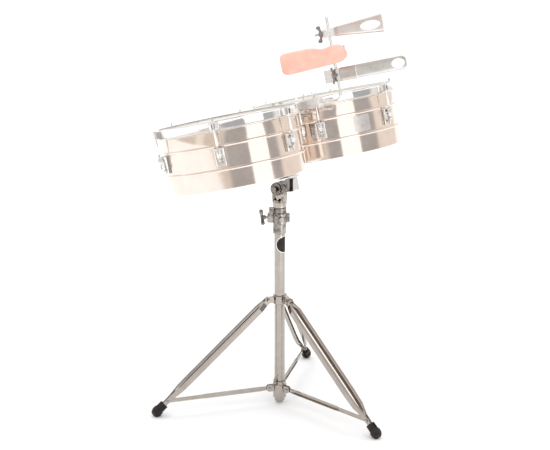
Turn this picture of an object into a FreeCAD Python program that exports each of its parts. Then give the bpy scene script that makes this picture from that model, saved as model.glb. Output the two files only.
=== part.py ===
import FreeCAD, Part
import math
import os

os.makedirs("parts", exist_ok=True)
V = FreeCAD.Vector

# ---------------------------------------------------------------- driving dimensions, mm
SMALL_R = 177.8          # small drum shell radius, 14 in
LARGE_R = 190.5          # large drum shell radius, 15 in
SHELL_T = 1.5            # shell wall
SMALL_X = -189.0         # small drum centre along the row
LARGE_X = 227.5          # large drum centre along the row
DRUM_Y = -30.3           # drum centres from the tilt axis, in the drum plane
RIM_Z = 52.0             # bottom edge of the shells above the tilt axis
BEAD1, BEAD2 = 48.0, 106.0   # bead heights above the bottom edge
BEAD_H = 2.6
SHELL_H = 160.5          # bearing edge above the bottom edge
HOOP_LO, HOOP_HI = 142.7, 167.4
LUG_AZ = (-90, -30, 30, 90, 150, 210)
LUG_OUT = 17.0           # tension rod axis outside the shell
LUG_LO, LUG_HI = 66.0, 91.0   # bracket bolt heights above the bottom edge
ROD_R = 3.0
TILT = 13.9              # drum tilt towards the player
PIVOT_Z = 614.0          # tilt axis above the floor
TUBE_R, TUBE_RI = 14.3, 12.7      # outer tube, 1-1/8 in
INNER_R = 11.1                    # inner tube, 7/8 in
TUBE_TOP = 520.0
LEG_AZ = {"right": 263.8, "rear": 23.8, "left": 143.8}
HUB_R, HUB_Z = 33.0, 302.8        # leg pivots
LEG_L = 427.5                     # pivot to foot ball centre
LEG_A = 386.9                     # pivot to strut rivet
LEG_G = 47.4                      # leg angle from vertical
LOW_R, LOW_Z = 29.3, 45.0         # strut pivots on the lower hub
BALL_R = 14.2
POST_R = 4.76                     # 3/8 in rod
POST_X, POST_Y = 12.9, -243.0     # post axis in the drum frame
ARM_Z = 205.0                     # horizontal part of the rod, in the drum frame
POST_TOP = 415.0
ACC_AZ = -52.7                    # direction in which the bells point
CHA_Z, BLOCK_Z, MAMBO_Z = 375.0, 318.0, 267.0
STUD_X, STUD_Z, STUD_LEAN = 22.0, 325.0, 21.0   # stud through the block clamp and the lean of its wing nut


# ---------------------------------------------------------------- helpers
def cyl(r, h, p=(0, 0, 0), d=(0, 0, 1)):
    return Part.makeCylinder(r, h, V(*p), V(*d))


def box(x0, x1, y0, y1, z0, z1):
    return Part.makeBox(x1 - x0, y1 - y0, z1 - z0, V(x0, y0, z0))


def fuse(items):
    out = items[0]
    if len(items) > 1:
        out = out.fuse(items[1:])
    return out.removeSplitter()


def cut(a, items):
    if not isinstance(items, (list, tuple)):
        items = [items]
    return a.cut(Part.makeCompound(items)) if len(items) > 1 else a.cut(items[0])


def lathe(pts, p=(0, 0, 0)):
    """Solid of revolution about Z from (r, z) points."""
    w = Part.makePolygon([V(r, 0, z) for r, z in pts] + [V(pts[0][0], 0, pts[0][1])])
    s = Part.Face(w).revolve(V(0, 0, 0), V(0, 0, 1), 360)
    s.translate(V(*p))
    return s


def prism(pts, h, axis="z", start=0.0):
    """Closed polygon extruded by h along an axis, starting at start."""
    if axis == "z":
        v = [V(a, b, start) for a, b in pts]
        d = V(0, 0, h)
    elif axis == "x":
        v = [V(start, a, b) for a, b in pts]
        d = V(h, 0, 0)
    else:
        v = [V(a, start, b) for a, b in pts]
        d = V(0, h, 0)
    return Part.Face(Part.makePolygon(v + [v[0]])).extrude(d)


def hexa(af, h, p=(0, 0, 0), d=(0, 0, 1)):
    r = af / math.sqrt(3.0)
    s = prism([(r * math.cos(math.radians(60 * i)), r * math.sin(math.radians(60 * i))) for i in range(6)], h)
    cham = Part.makeCone(r + 0.2 + h * 0.0, r - 0.9, 1.0, V(0, 0, h - 1.0))
    keep = cyl(r + 0.2, h - 1.0).fuse(cham)
    s = s.common(keep)
    return place(s, p, d)


def place(s, p, d):
    s = s.copy()
    r = FreeCAD.Rotation(V(0, 0, 1), V(*d))
    s.Placement = FreeCAD.Placement(V(*p), r).multiply(s.Placement)
    return s


def turn(s, a, p=(0, 0, 0), d=(0, 0, 1)):
    s = s.copy()
    s.rotate(V(*p), V(*d), a)
    return s


def move(s, x, y, z):
    s = s.copy()
    s.translate(V(x, y, z))
    return s


def tilt(s):
    """From the drum frame (origin on the tilt axis) to the object frame."""
    return move(turn(s, -TILT, d=(1, 0, 0)), 0, 0, PIVOT_Z)


def acc(s):
    """From the post frame (origin on the post axis) to the object frame."""
    return tilt(move(turn(s, ACC_AZ), POST_X, POST_Y, 0))


def soft(s, r, pick=None):
    """Fillet the picked edges; the sharp solid is kept when the kernel refuses."""
    edges = [e for e in s.Edges if pick is None or pick(e)]
    try:
        t = s.makeFillet(r, edges)
        if t.isValid() and t.Volume > 0:
            return t
    except Exception:
        pass
    return s


def group(items):
    out = []
    for s in items:
        out += s.Solids
    return Part.makeCompound(out)


def save(name, shape):
    n = len(shape.Solids)
    if n == 1:
        shape = shape.Solids[0]
    elif shape.ShapeType != "Compound":
        shape = Part.makeCompound(shape.Solids)
    print(name, n, shape.isValid(), [round(v) for v in (shape.BoundBox.XMin, shape.BoundBox.XMax, shape.BoundBox.YMin, shape.BoundBox.YMax, shape.BoundBox.ZMin, shape.BoundBox.ZMax)])
    shape.exportStep("parts/%s.step" % name)


def ring_loft(sections):
    return Part.makeLoft([Part.makePolygon(s + [s[0]]) for s in sections], True, True)


def wing(hub_r, hub_h, span, height, t, bore=0.0):
    """Wing head standing on z=0, screw axis Z, wings along X."""
    h = lathe([(0, 0), (hub_r, 0), (hub_r, hub_h * 0.7), (hub_r * 0.75, hub_h), (0, hub_h)])
    parts = [h]
    for s in (1, -1):
        w = prism([(s * hub_r * 0.4, hub_h * 0.15), (s * hub_r * 0.95, hub_h * 0.1), (s * span * 0.40, hub_h * 0.45), (s * span * 0.5, height * 0.82),
                   (s * span * 0.46, height), (s * span * 0.36, height), (s * span * 0.27, hub_h * 0.95), (s * hub_r * 0.4, hub_h * 0.8)], t, "y", -t / 2.0)
        parts.append(w)
    out = fuse(parts)
    if bore:
        out = cut(out, cyl(bore, hub_h + 2, (0, 0, -1)))
    return out


# ================================================================ stand: column
outer_tube = cut(cyl(TUBE_R, TUBE_TOP - 12.0, (0, 0, 12)), cyl(TUBE_RI, TUBE_TOP, (0, 0, 0)))
save("outer_tube", outer_tube)
plug = lathe([(0, 2), (6, 2.4), (10.5, 4.2), (13.4, 7.6), (14.3, 12), (12.65, 12), (12.65, 26), (11, 28), (0, 28)])
save("tube_end_plug", plug)


def hub(z0, z1, r, pivot_r, pivot_z, ear_r, bore, ears, hole):
    """Ring with ears for three legs; ears is a list of (y0, y1) pairs."""
    body = lathe([(bore, z0), (r - 1.2, z0), (r, z0 + 1.2), (r, z1 - 1.2), (r - 1.2, z1), (bore, z1)])
    parts = [body]
    for az in LEG_AZ.values():
        for y0, y1 in ears:
            e = fuse([cyl(ear_r, y1 - y0, (pivot_r, y0, pivot_z), (0, 1, 0)),
                      prism([(bore + 1.0, max(z0 + 0.8, pivot_z - ear_r)), (r, max(z0 + 0.8, pivot_z - ear_r)), (pivot_r, pivot_z - ear_r * 0.92), (pivot_r, pivot_z + ear_r * 0.92),
                             (r, min(z1 - 0.8, pivot_z + ear_r)), (bore + 1.0, min(z1 - 0.8, pivot_z + ear_r))], y1 - y0, "y", y0)])
            e = cut(e, cyl(hole, 60, (pivot_r, -30, pivot_z), (0, 1, 0)))
            parts.append(turn(e, az))
    out = fuse(parts)
    return cut(out, cyl(bore, z1 - z0 + 20, (0, 0, z0 - 10)))


upper_hub = hub(291.0, 315.0, 18.6, HUB_R, HUB_Z, 7.8, TUBE_R, [(-6.0, 6.0)], 3.0)
upper_hub = cut(upper_hub, [turn(cyl(2.5, 12, (8, 0, 303), (1, 0, 0)), 83.8)])
save("upper_hub", upper_hub)


def pivot_bolt(r, y0, y1, head, nut, w):
    """Bolt along Y with a domed head at -Y and a hex nut at +Y."""
    s = [cyl(r, y1 - y0, (0, y0, 0), (0, 1, 0)),
         place(lathe([(0, 0), (head, 0), (head, 1.4), (head * 0.8, 2.6), (head * 0.45, 3.3), (0, 3.4)]), (0, y0 + 0.01, 0), (0, -1, 0)),
         hexa(nut, w, (0, y1 - 0.01, 0), (0, 1, 0))]
    return fuse(s)


items = []
for az in LEG_AZ.values():
    items.append(turn(move(pivot_bolt(3.0, -9.6, 9.6, 5.2, 9.5, 4.6), HUB_R, 0, HUB_Z), az))
save("leg_pivot_bolts", group(items))

# sleeve and clamp on top of the outer tube
TEE_AZ = 127.3
BOSS_AZ = -52.7
clamp = lathe([(TUBE_R, 490), (17.0, 490), (17.8, 491), (17.8, 516), (19.6, 519), (19.6, 545), (18.2, 548), (11.25, 548), (11.25, TUBE_TOP), (TUBE_R, TUBE_TOP)])
ears = box(8, 33, -9, 9, 521, 545)
ears = soft(ears, 4.0, lambda e: abs(e.tangentAt(e.FirstParameter).y) > 0.99 and e.CenterOfMass.x > 20)
clamp = fuse([clamp, turn(ears, TEE_AZ), turn(fuse([box(14, 27, -7.5, 7.5, 522, 544)]), BOSS_AZ),
              turn(move(place(lathe([(0, 0), (7.0, 0), (7.0, 12), (5.6, 13.5), (0, 13.5)]), (0, 0, 0), (1, 0, 0)), 12, 0, 533), BOSS_AZ - 78)])
clamp = cut(clamp, [cyl(TUBE_R, 60, (0, 0, TUBE_TOP - 60)), cyl(11.25, 80, (0, 0, 500)),
                    turn(box(8, 40, -0.9, 0.9, 520.5, 560), TEE_AZ),
                    turn(cyl(3.05, 40, (10.5, 0, 533.5), (1, 0, 0)), TEE_AZ - 0.001)])
# notch for the memory lock key
clamp = cut(clamp, turn(box(11, 21, -3.4, 3.4, 541, 549), TEE_AZ + 64))
save("clamp_collar", clamp)

tee = [cyl(3.0, 26, (16.5, 0, 0), (1, 0, 0)), place(lathe([(0, 0), (4.8, 0), (6.0, 3), (6.0, 8), (4.6, 12), (0, 12)]), (37.0, 0, 0), (1, 0, 0))]
grip = fuse([lathe([(0, -18), (5.4, -18), (5.4, -15), (3.9, -6), (3.9, 6), (5.4, 15), (5.4, 18), (0, 18)], (47.5, 0, 0)), Part.makeSphere(5.4, V(47.5, 0, 16)), Part.makeSphere(5.4, V(47.5, 0, -16))])
tee = fuse(tee + [turn(turn(grip, 14, (47.5, 0, 0), (1, 0, 0)), 9, (47.5, 0, 0), (0, 1, 0))])
tee = turn(move(tee, 0, 0, 533.5), TEE_AZ)
save("height_tee_screw", tee)

# ---------------------------------------------------------------- lower hub, struts
lower_hub = hub(17.0, 57.0, 18.4, LOW_R, LOW_Z, 9.6, TUBE_R + 0.08, [(-5.1, -2.1), (2.1, 5.1)], 2.5)
neck = lathe([(TUBE_R + 0.08, 57), (17.6, 57), (17.6, 65.5), (16.6, 66.5), (TUBE_R + 0.08, 66.5)])
WING_AZ = 183.0
WING_Z = 60.0            # wing screw axis where it meets the bore
WING_UP = 0.75           # rise of that axis per mm outwards
bossl = turn(cyl(5.6, 9.5, (13.0, 0, WING_Z - 2.6), (1, 0, WING_UP)), WING_AZ)
lower_hub = fuse([lower_hub, neck, bossl])
lower_hub = cut(lower_hub, [cyl(TUBE_R + 0.08, 100, (0, 0, 0)), turn(cyl(2.56, 44, (13.0, 0, WING_Z - 2.6), (1, 0, WING_UP)), WING_AZ)])
save("lower_hub", lower_hub)

items = []
for az in LEG_AZ.values():
    items.append(turn(move(pivot_bolt(2.5, -5.2, 5.2, 4.4, 7.0, 2.6), LOW_R, 0, LOW_Z), az))
save("strut_hub_pins", group(items))

ax = (1 / math.hypot(1, WING_UP), 0, WING_UP / math.hypot(1, WING_UP))
ws = fuse([cyl(2.5, 11.6, (0, 0, 4.6)), move(wing(4.4, 6.5, 29, 15, 3.0), 0, 0, 9.8)])
ws = turn(place(ws, (13.0, 0, WING_Z - 2.6), ax), WING_AZ)
save("hub_wing_screw", ws)


def channel(stations):
    """Ruled channel bar. Stations are (x, y_in, y_out, half width, wall, notch depth)."""
    secs = []
    for x, yi, yo, hw, t, nd in stations:
        a, b = yi, yo
        secs.append([V(x, a, -hw), V(x, b, -hw), V(x, b, hw), V(x, a, hw),
                     V(x, a, hw - t), V(x, a + nd, hw - t), V(x, a + nd, -hw + t), V(x, a, -hw + t)])
    return ring_loft(secs)


def leg_frame(s, az):
    """From the leg frame (x from hub pivot to the foot, y across) to the object frame."""
    s = turn(s, 90.0 - LEG_G, d=(0, 1, 0))
    return turn(move(s, HUB_R, 0, HUB_Z), az)


bar = channel([(0, 6.3, 9.5, 6.8, 1.6, 0.5), (13, 6.3, 9.5, 6.8, 1.6, 0.5), (34, 8.6, 17.4, 6.4, 1.5, 7.2), (300, 8.6, 17.4, 6.4, 1.5, 7.2),
               (340, 7.2, 15.4, 6.4, 1.5, 6.6), (372, 2.1, 5.1, 6.3, 1.5, 0.4), (412, 2.1, 5.1, 5.6, 1.5, 0.4)])
tip = cyl(6.8, 3.2, (0, 6.3, 0), (0, 1, 0))
bar = cut(fuse([bar, tip]), [cyl(3.06, 20, (0, 0, 0), (0, 1, 0)), cyl(2.5, 20, (LEG_A, 0, 0), (0, 1, 0))])
bar2 = bar.mirror(V(0, 0, 0), V(0, 1, 0))
rivet = pivot_bolt(2.5, -5.15, 5.15, 4.3, 6.6, 2.2)
# the rivet stops short of the strut on both sides, so that the strut can pass as the legs fold
halves = [cut(move(rivet, LEG_A, 0, 0), box(LEG_A - 20, LEG_A + 20, -30, 2.1, -20, 20)), cut(move(rivet, LEG_A, 0, 0), box(LEG_A - 20, LEG_A + 20, -2.1, 30, -20, 20))]
foot = lathe([(0, 399), (11.2, 399), (12.0, 399.8), (12.3, 418.4), (13.9, 418.9), (14.5, 420.4), (14.6, 425.5), (14.1, 430.2), (12.6, 434.6), (9.9, 438.3), (6.0, 440.9), (0, 441.8)])
foot = turn(foot, 90, d=(0, 1, 0))
foot = cut(foot, [box(398, 412.3, 1.95, 5.25, -6.1, 6.1), box(398, 412.3, -5.25, -1.95, -6.1, 6.1), box(398, 418.3, -2.15, 2.15, -16, 16), box(418, 420.6, -2.15, 2.15, 12.2, 16)])
floor_cut = box(-900, 900, -900, 900, -60, 0)
for side, az in LEG_AZ.items():
    save("leg_%s_bars" % side, group([leg_frame(bar, az), leg_frame(bar2, az)]))
    save("leg_%s_rivets" % side, group([leg_frame(s, az) for s in halves]))
    save("leg_%s_foot" % side, cut(leg_frame(foot, az), floor_cut))

strut_out = (HUB_R + LEG_A * math.sin(math.radians(LEG_G)), HUB_Z - LEG_A * math.cos(math.radians(LEG_G)))
strut_len = math.hypot(strut_out[0] - LOW_R, strut_out[1] - LOW_Z)
strut_slope = math.degrees(math.atan2(strut_out[1] - LOW_Z, strut_out[0] - LOW_R))
L = strut_len
half = channel([(0, -1.7, 1.7, 5.4, 1.4, 0.4), (12, -1.7, 1.7, 5.4, 1.4, 0.4), (26, -3.2, 3.2, 5.6, 1.4, 5.0), (L - 108, -3.2, 3.2, 5.6, 1.4, 5.0),
                (L - 96, -1.7, 1.7, 5.3, 1.4, 0.4), (L, -1.7, 1.7, 5.2, 1.4, 0.4)])
strut = fuse([half, cyl(5.4, 3.4, (0, -1.7, 0), (0, 1, 0)), cyl(5.2, 3.4, (L, -1.7, 0), (0, 1, 0))])
strut = cut(strut, [cyl(2.56, 10, (0, -5, 0), (0, 1, 0)), cyl(2.56, 10, (L, -5, 0), (0, 1, 0))])
for side, az in LEG_AZ.items():
    s = turn(strut, -strut_slope, d=(0, 1, 0))
    save("strut_%s" % side, turn(move(s, LOW_R, 0, LOW_Z), az))

# ================================================================ upper post
inner_tube = cut(cyl(INNER_R, 580 - 300, (0, 0, 300)), cyl(INNER_R - 1.6, 300, (0, 0, 290)))
save("inner_tube", inner_tube)

lock = lathe([(INNER_R + 0.06, 548.3), (17.2, 548.3), (18.2, 549.3), (18.2, 560.6), (17.2, 561.6), (INNER_R + 0.06, 561.6)])
lock = fuse([lock, turn(fuse([box(13, 29, -6.5, 6.5, 549, 561)]), TEE_AZ + 8), turn(box(13.0, 17.6, -3.1, 3.1, 542, 550), TEE_AZ + 64)])
lock = cut(lock, [cyl(INNER_R + 0.06, 40, (0, 0, 530)), turn(box(8, 30, -0.8, 0.8, 548, 562), TEE_AZ + 8), turn(cyl(2.05, 30, (23.6, -15, 555), (0, 1, 0)), TEE_AZ + 8)])
key = fuse([cyl(2.0, 19, (0, 0, 0)), lathe([(0, 0), (4.4, 0), (4.4, 3.2), (3.4, 4.4), (0, 4.4)], (0, 0, 19)), box(-2.1, 2.1, -2.1, 2.1, 23, 28.5)])
key = turn(place(key, (23.6, 12.5, 555), (0, -1, 0)), TEE_AZ + 8)
save("memory_lock", group([lock, key]))

yoke = lathe([(INNER_R + 0.0, 561.9), (17.0, 561.9), (17.8, 563), (17.8, 576), (16.4, 583), (0, 583), (0, 580.02), (INNER_R + 0.0, 580.02)])
neck = Part.makeLoft([Part.makePolygon([V(-12, -14, 568), V(12, -14, 568), V(12, 14, 568), V(-12, 14, 568), V(-12, -14, 568)]),
                      Part.makePolygon([V(-7, -20.0, 593), V(7, -20.0, 593), V(7, 20.0, 593), V(-7, 20.0, 593), V(-7, -20.0, 593)])], True, True)
yoke = fuse([yoke, neck, box(-7, 7, -20.0, 20.0, 592.9, 599), prism([(-20.0, 599), (20.0, 599), (17.0, PIVOT_Z), (-17.0, PIVOT_Z)], 14, "x", -7), cyl(17.0, 14, (-7, 0, PIVOT_Z), (1, 0, 0))])
# relief under the tilt disc on both faces of the yoke
yoke = cut(yoke, [box(5.2, 15, -11, 11, 578, 594), box(-15, -5.2, -11, 11, 578, 594)])
yoke = cut(yoke, [cyl(5.06, 40, (-20, 0, PIVOT_Z), (1, 0, 0)), cyl(INNER_R, 40, (0, 0, 540.02))])
save("tilter_yoke", yoke)

# ---------------------------------------------------------------- tilter arm, drum frame
cheek = lambda x0, x1: fuse([cyl(18.0, x1 - x0, (x0, 0, 0), (1, 0, 0)), prism([(0, -13.5), (-20, -11), (-54, -11), (-54, 23), (-6, 17.0)], x1 - x0, "x", x0)])
arm = fuse([cheek(-15.0, -7.3), cheek(7.3, 15.0), soft(box(-15.0, 15.0, -54, -35, -11, 23), 2.0, lambda e: abs(e.CenterOfMass.y + 54) < 0.1)])
arm = cut(arm, [cyl(5.1, 60, (-30, 0, 0), (1, 0, 0)), cyl(4.1, 60, (-30, -26, 3), (1, 0, 0))])
save("tilter_arm", tilt(arm))

teeth = [cyl(17.2, 2.6, (-17.6, 0, 0), (1, 0, 0))]
for i in range(12):
    a = 30 * i
    teeth.append(turn(prism([(9.5, -1.1), (16.4, -1.9), (16.4, 1.9), (9.5, 1.1)], 1.6, "z", 0), a))
rt = [teeth[0]]
for t in teeth[1:]:
    t = turn(t, -90, d=(0, 1, 0))
    rt.append(move(t, -17.4, 0, 0))
ratchet = cut(fuse(rt), cyl(5.1, 40, (-30, 0, 0), (1, 0, 0)))
save("tilt_ratchet", tilt(ratchet))

bolt = fuse([cyl(5.0, 39.4, (-19.5, 0, 0), (1, 0, 0)), hexa(14.0, 6.0, (-19.1, 0, 0), (-1, 0, 0)), place(lathe([(0, 0), (8.6, 0), (8.6, 1.2), (0, 1.2)]), (15.2, 0, 0), (1, 0, 0)), hexa(14.0, 7.5, (16.3, 0, 0), (1, 0, 0))])
save("tilt_bolt", tilt(bolt))
pin = fuse([cyl(4.0, 31, (-15.5, -26, 3), (1, 0, 0)), place(lathe([(0, 0), (7.2, 0), (7.2, 1.6), (5.6, 3.6), (0, 3.6)]), (-15.0, -26, 3), (-1, 0, 0)), hexa(11.0, 5.0, (15.0, -26, 3), (1, 0, 0))])
pin = cut(pin, place(hexa(5.0, 3.0), (-18.8, -26, 3), (1, 0, 0)))
save("arm_cross_bolt", tilt(pin))

# ---------------------------------------------------------------- bracket between the drums
MID_X = (SMALL_X + SMALL_R + LARGE_X - LARGE_R) / 2.0
foot_plate = box(-15.0, MID_X + 10.5, -54, -8, 23, 29)
spine = box(MID_X - 6, MID_X + 6, -58, -8, 28, 216.5)
sad = []
for z0, z1 in ((RIM_Z + 10, RIM_Z + BEAD1 - 6), (RIM_Z + BEAD1 + 8, RIM_Z + BEAD2 - 8)):
    sad.append(box(MID_X - 30, MID_X + 30, -58, -4, z0, z1))
bracket = fuse([foot_plate, spine] + sad)
bracket = cut(bracket, [cyl(SMALL_R, 400, (SMALL_X, DRUM_Y, 0)), cyl(LARGE_R, 400, (LARGE_X, DRUM_Y, 0))])
bracket = cut(bracket, [box(MID_X - 40, MID_X - 2.5, -46, -17, 20, 400), box(MID_X + 2.5, MID_X + 40, -46, -17, 20, 400),
                        cyl(5.0, 40, (MID_X, -34, 60), (1, 0, 0))])
MB = [(y, z) for z in (RIM_Z + 26, RIM_Z + 77) for y in (-52.3, -11.0)]
holes = [cyl(2.6, 120, (MID_X - 60, y, z), (1, 0, 0)) for y, z in MB]
bracket = cut(bracket, holes)
save("mount_bracket", tilt(bracket))
items = []
for y, z in MB:
    items.append(fuse([cyl(2.5, 56.4, (MID_X - 28.2, y, z), (1, 0, 0)),
                       place(lathe([(0, 0), (5.4, 0), (5.2, 1.8), (3.4, 3.4), (0, 3.9)]), (MID_X - 28.0, y, z), (-1, 0, 0)),
                       hexa(8.0, 4.4, (MID_X + 28.0, y, z), (1, 0, 0))]))
for y in (-22.0, -49.0):
    items.append(fuse([hexa(9.0, 6.0, (MID_X, y, 218.3)), lathe([(0, 0), (6.2, 0), (6.2, 1.8), (0, 1.8)], (MID_X, y, 216.5))]))
save("mount_bolts", group([tilt(s) for s in items]))


# ================================================================ drums, drum frame
def at_lug(s, cx, az):
    return move(turn(s, az), cx, DRUM_Y, 0)


def drum(name, R, cx, long_rods):
    z0 = RIM_Z
    t = SHELL_T
    prof = [(R, z0 + 1.0)]
    for b in (BEAD1, BEAD2):
        for k in range(0, 7):
            a = math.pi * k / 6.0
            prof.append((R + BEAD_H * math.sin(a), z0 + b - 3.6 * math.cos(a)))
    prof += [(R, z0 + SHELL_H - 0.8), (R - 0.6, z0 + SHELL_H), (R - t, z0 + SHELL_H - 0.6)]
    for b in (BEAD2, BEAD1):
        for k in range(6, -1, -1):
            a = math.pi * k / 6.0
            prof.append((R - t + (BEAD_H - 0.4) * math.sin(a), z0 + b - 2.6 * math.cos(a)))
    prof += [(R - t, z0 + 3.0), (R - 9.0, z0 + 2.4), (R - 9.0, z0), (R - 1.0, z0)]
    shell = lathe(prof, (cx, DRUM_Y, 0))
    holes = []
    for az in LUG_AZ:
        for zz in (z0 + LUG_LO, z0 + LUG_HI):
            holes.append(at_lug(cyl(2.55, 20, (R - 12, 0, zz), (1, 0, 0)), cx, az))
    holes += [cyl(2.55, 120, (MID_X - 60, y, z), (1, 0, 0)) for y, z in MB]
    shell = cut(shell, holes)
    save(name + "_shell", tilt(shell))

    zr = z0 + 147.5
    head = lathe([(0, z0 + SHELL_H), (R + 1.9, z0 + SHELL_H), (R + 1.9, zr), (R + 3.9, zr), (R + 3.9, zr + 5), (R + 2.4, zr + 5), (R + 2.4, z0 + SHELL_H + 0.5), (0, z0 + SHELL_H + 0.5)],
                 (cx, DRUM_Y, 0))
    save(name + "_head", tilt(head))

    o = R * 0.034
    a, b = R + 3.95, R + o
    h0, h1 = z0 + HOOP_LO, z0 + HOOP_HI
    hp = [(a, h0), (b + 1.9, h0), (b + 2.6, h0 + 0.7), (b + 2.6, h0 + 1.9), (b + 1.9, h0 + 2.7), (b + 0.4, h0 + 3.2), (b, h0 + 4.2), (b, h1 - 5.2), (b + 0.7, h1 - 4.0),
          (b + 0.9, h1 - 2.6), (b + 0.3, h1 - 0.8), (b - 1.0, h1), (a + 0.4, h1), (a - 0.5, h1 - 0.9), (a - 0.6, h1 - 2.4), (a, h1 - 4.0), (a, zr + 7.4), (R + 2.7, zr + 7.4), (R + 2.7, zr + 5), (a, zr + 5)]
    hoop = lathe(hp, (cx, DRUM_Y, 0))
    save(name + "_hoop", tilt(hoop))

    hub_off = R + LUG_OUT
    claws, rods, nuts, brs, bbs = [], [], [], [], []
    for az in LUG_AZ:
        c = box(b + 0.0, R + 14.0, -12, 12, 198, 216)
        c = fuse([c, cyl(7.0, 18, (hub_off, 0, 198)), prism([(R + 9, -12), (R + 14.0, -12), (hub_off + 5.6, -4.2), (hub_off + 5.6, 4.2), (R + 14.0, 12), (R + 9, 12)], 18, "z", 198)])
        c = cut(c, [cyl(ROD_R + 0.3, 40, (hub_off, 0, 190)), cyl(b + 0.0, 60, (0, 0, 180)),
                    box(b + 2.2, R + 10.0, -9.5, 9.5, 203, 217)])
        # follow the swollen lower and upper edges of the hoop
        c = cut(c, lathe([(0, 190), (b + 3.0, 190), (b + 3.0, h0 + 4.4), (0, h0 + 4.4)]))
        c = cut(c, lathe([(0, h1 - 5.6), (b + 1.0, h1 - 5.6), (b + 1.0, 230), (0, 230)]))
        claws.append(at_lug(c, cx, az))
        up = 4.0 if (name, az) in long_rods else 0.0
        zt = 216.0 + up
        r = fuse([cyl(ROD_R, zt - 122.0, (hub_off, 0, 122.0)), lathe([(0, 0), (6.0, 0), (6.0, 1.6), (4.6, 2.6), (0, 2.6)], (hub_off, 0, zt)),
                  box(hub_off - 2.6, hub_off + 2.6, -2.6, 2.6, zt + 2.0, zt + 9.0)])
        rods.append(at_lug(r, cx, az))
        n = fuse([hexa(11.5, 15.0, (hub_off, 0, 135.0)), lathe([(0, 0), (6.9, 0), (6.9, 1.5), (0, 1.5)], (hub_off, 0, 149.0))])
        n = fuse([n, lathe([(0, 0), (4.6, 0), (5.2, 1.0), (5.2, 5.0), (0, 5.0)], (hub_off, 0, 130.5))])
        n = cut(n, cyl(ROD_R, 40, (hub_off, 0, 120)))
        nuts.append(at_lug(n, cx, az))
        zb, zt2 = z0 + 57.6, z0 + 101.6
        side = [(R - 2, zb), (R + 5.4, zb + 0.6), (R + 7.0, zb + 24), (R + 11.0, zt2), (R - 2, zt2)]
        g = fuse([box(R - 2, R + 3.2, -12.5, 12.5, zb, zt2), prism(side, 2.2, "y", -12.5), prism(side, 2.2, "y", 10.3),
                  prism([(R - 2, -12.5), (R + 11, -12.5), (hub_off + 5.4, -5.4), (hub_off + 5.4, 5.4), (R + 11, 12.5), (R - 2, 12.5)], 3.0, "z", zt2 - 3.0)])
        g = cut(g, [cyl(R, 300, (0, 0, 0)), cyl(ROD_R + 0.3, 30, (hub_off, 0, 140)),
                    cyl(2.6, 40, (R - 12, 0, z0 + LUG_LO), (1, 0, 0)), cyl(2.6, 40, (R - 12, 0, z0 + LUG_HI), (1, 0, 0))])
        brs.append(at_lug(g, cx, az))
        for zz, hh in ((z0 + LUG_LO, 4.0), (z0 + LUG_HI, 1.9)):
            hd = hexa(8.0, hh, (R + 3.2, 0, zz), (1, 0, 0)) if hh > 3 else cyl(4.4, hh, (R + 3.2, 0, zz), (1, 0, 0))
            bb = fuse([cyl(2.5, 13.2, (R - 10.0, 0, zz), (1, 0, 0)), hd,
                       place(lathe([(0, 0), (5.5, 0), (5.5, 1.0), (0, 1.0)]), (R - t - 0.1, 0, zz), (-1, 0, 0)), hexa(8.0, 4.0, (R - t - 1.05, 0, zz), (-1, 0, 0))])
            bbs.append(at_lug(bb, cx, az))
    save(name + "_claws", group([tilt(s) for s in claws]))
    save(name + "_rods", group([tilt(s) for s in rods]))
    save(name + "_nuts", group([tilt(s) for s in nuts]))
    save(name + "_brackets", group([tilt(s) for s in brs]))
    save(name + "_bracket_bolts", group([tilt(s) for s in bbs]))


LONG = {("small", -30), ("large", 210)}
drum("small", SMALL_R, SMALL_X, LONG)
drum("large", LARGE_R, LARGE_X, LONG)

# ================================================================ accessory clamp and post, drum frame
sx = SMALL_X + (SMALL_R + LUG_OUT) * math.cos(math.radians(-30))
sy = DRUM_Y + (SMALL_R + LUG_OUT) * math.sin(math.radians(-30))
lx = LARGE_X + (LARGE_R + LUG_OUT) * math.cos(math.radians(210))
ly = DRUM_Y + (LARGE_R + LUG_OUT) * math.sin(math.radians(210))
plate = prism([(sx - 9, sy - 8), (sx + 12, sy - 12), (lx - 12, ly - 12), (lx + 9, ly - 8), (lx + 9, ly + 9), (lx - 12, ly + 14), (sx + 12, sy + 14), (sx - 9, sy + 9)], 4.0, "z", 216.0)
block = soft(box(POST_X - 11, POST_X + 11, -178, -112, 196, 216.0), 2.0, lambda e: abs(e.tangentAt(e.FirstParameter).z) > 0.99)
cap = box(POST_X - 10, POST_X + 10, -178, -138, 215, 222)
clampb = fuse([plate, block, soft(cap, 1.5, lambda e: e.CenterOfMass.z > 221)])
clampb = cut(clampb, [cyl(POST_R + 0.08, 90, (POST_X, -190, ARM_Z), (0, 1, 0)), cyl(ROD_R + 0.3, 60, (sx, sy, 190)), cyl(ROD_R + 0.3, 60, (lx, ly, 190)),
                      cyl(2.55, 40, (POST_X, -160, 206)), cyl(2.55, 40, (POST_X, -124, 206)),
                      cyl(SMALL_R * 1.034 + 1.2, 40, (SMALL_X, DRUM_Y, 190)), cyl(LARGE_R * 1.034 + 1.2, 40, (LARGE_X, DRUM_Y, 190))])
save("rod_clamp", tilt(clampb))
for nm, y, zb, a in (("rod_clamp_wing_screw", -160.0, 222.1, 65), ("rod_clamp_rear_wing_screw", -124.0, 220.1, 20)):
    w = fuse([cyl(2.5, zb + 6 - 210.0, (0, 0, 210.0)), move(wing(4.6, 8.0, 27, 17, 3.0), 0, 0, zb)])
    save(nm, tilt(move(turn(w, a), POST_X, y, 0)))

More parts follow.
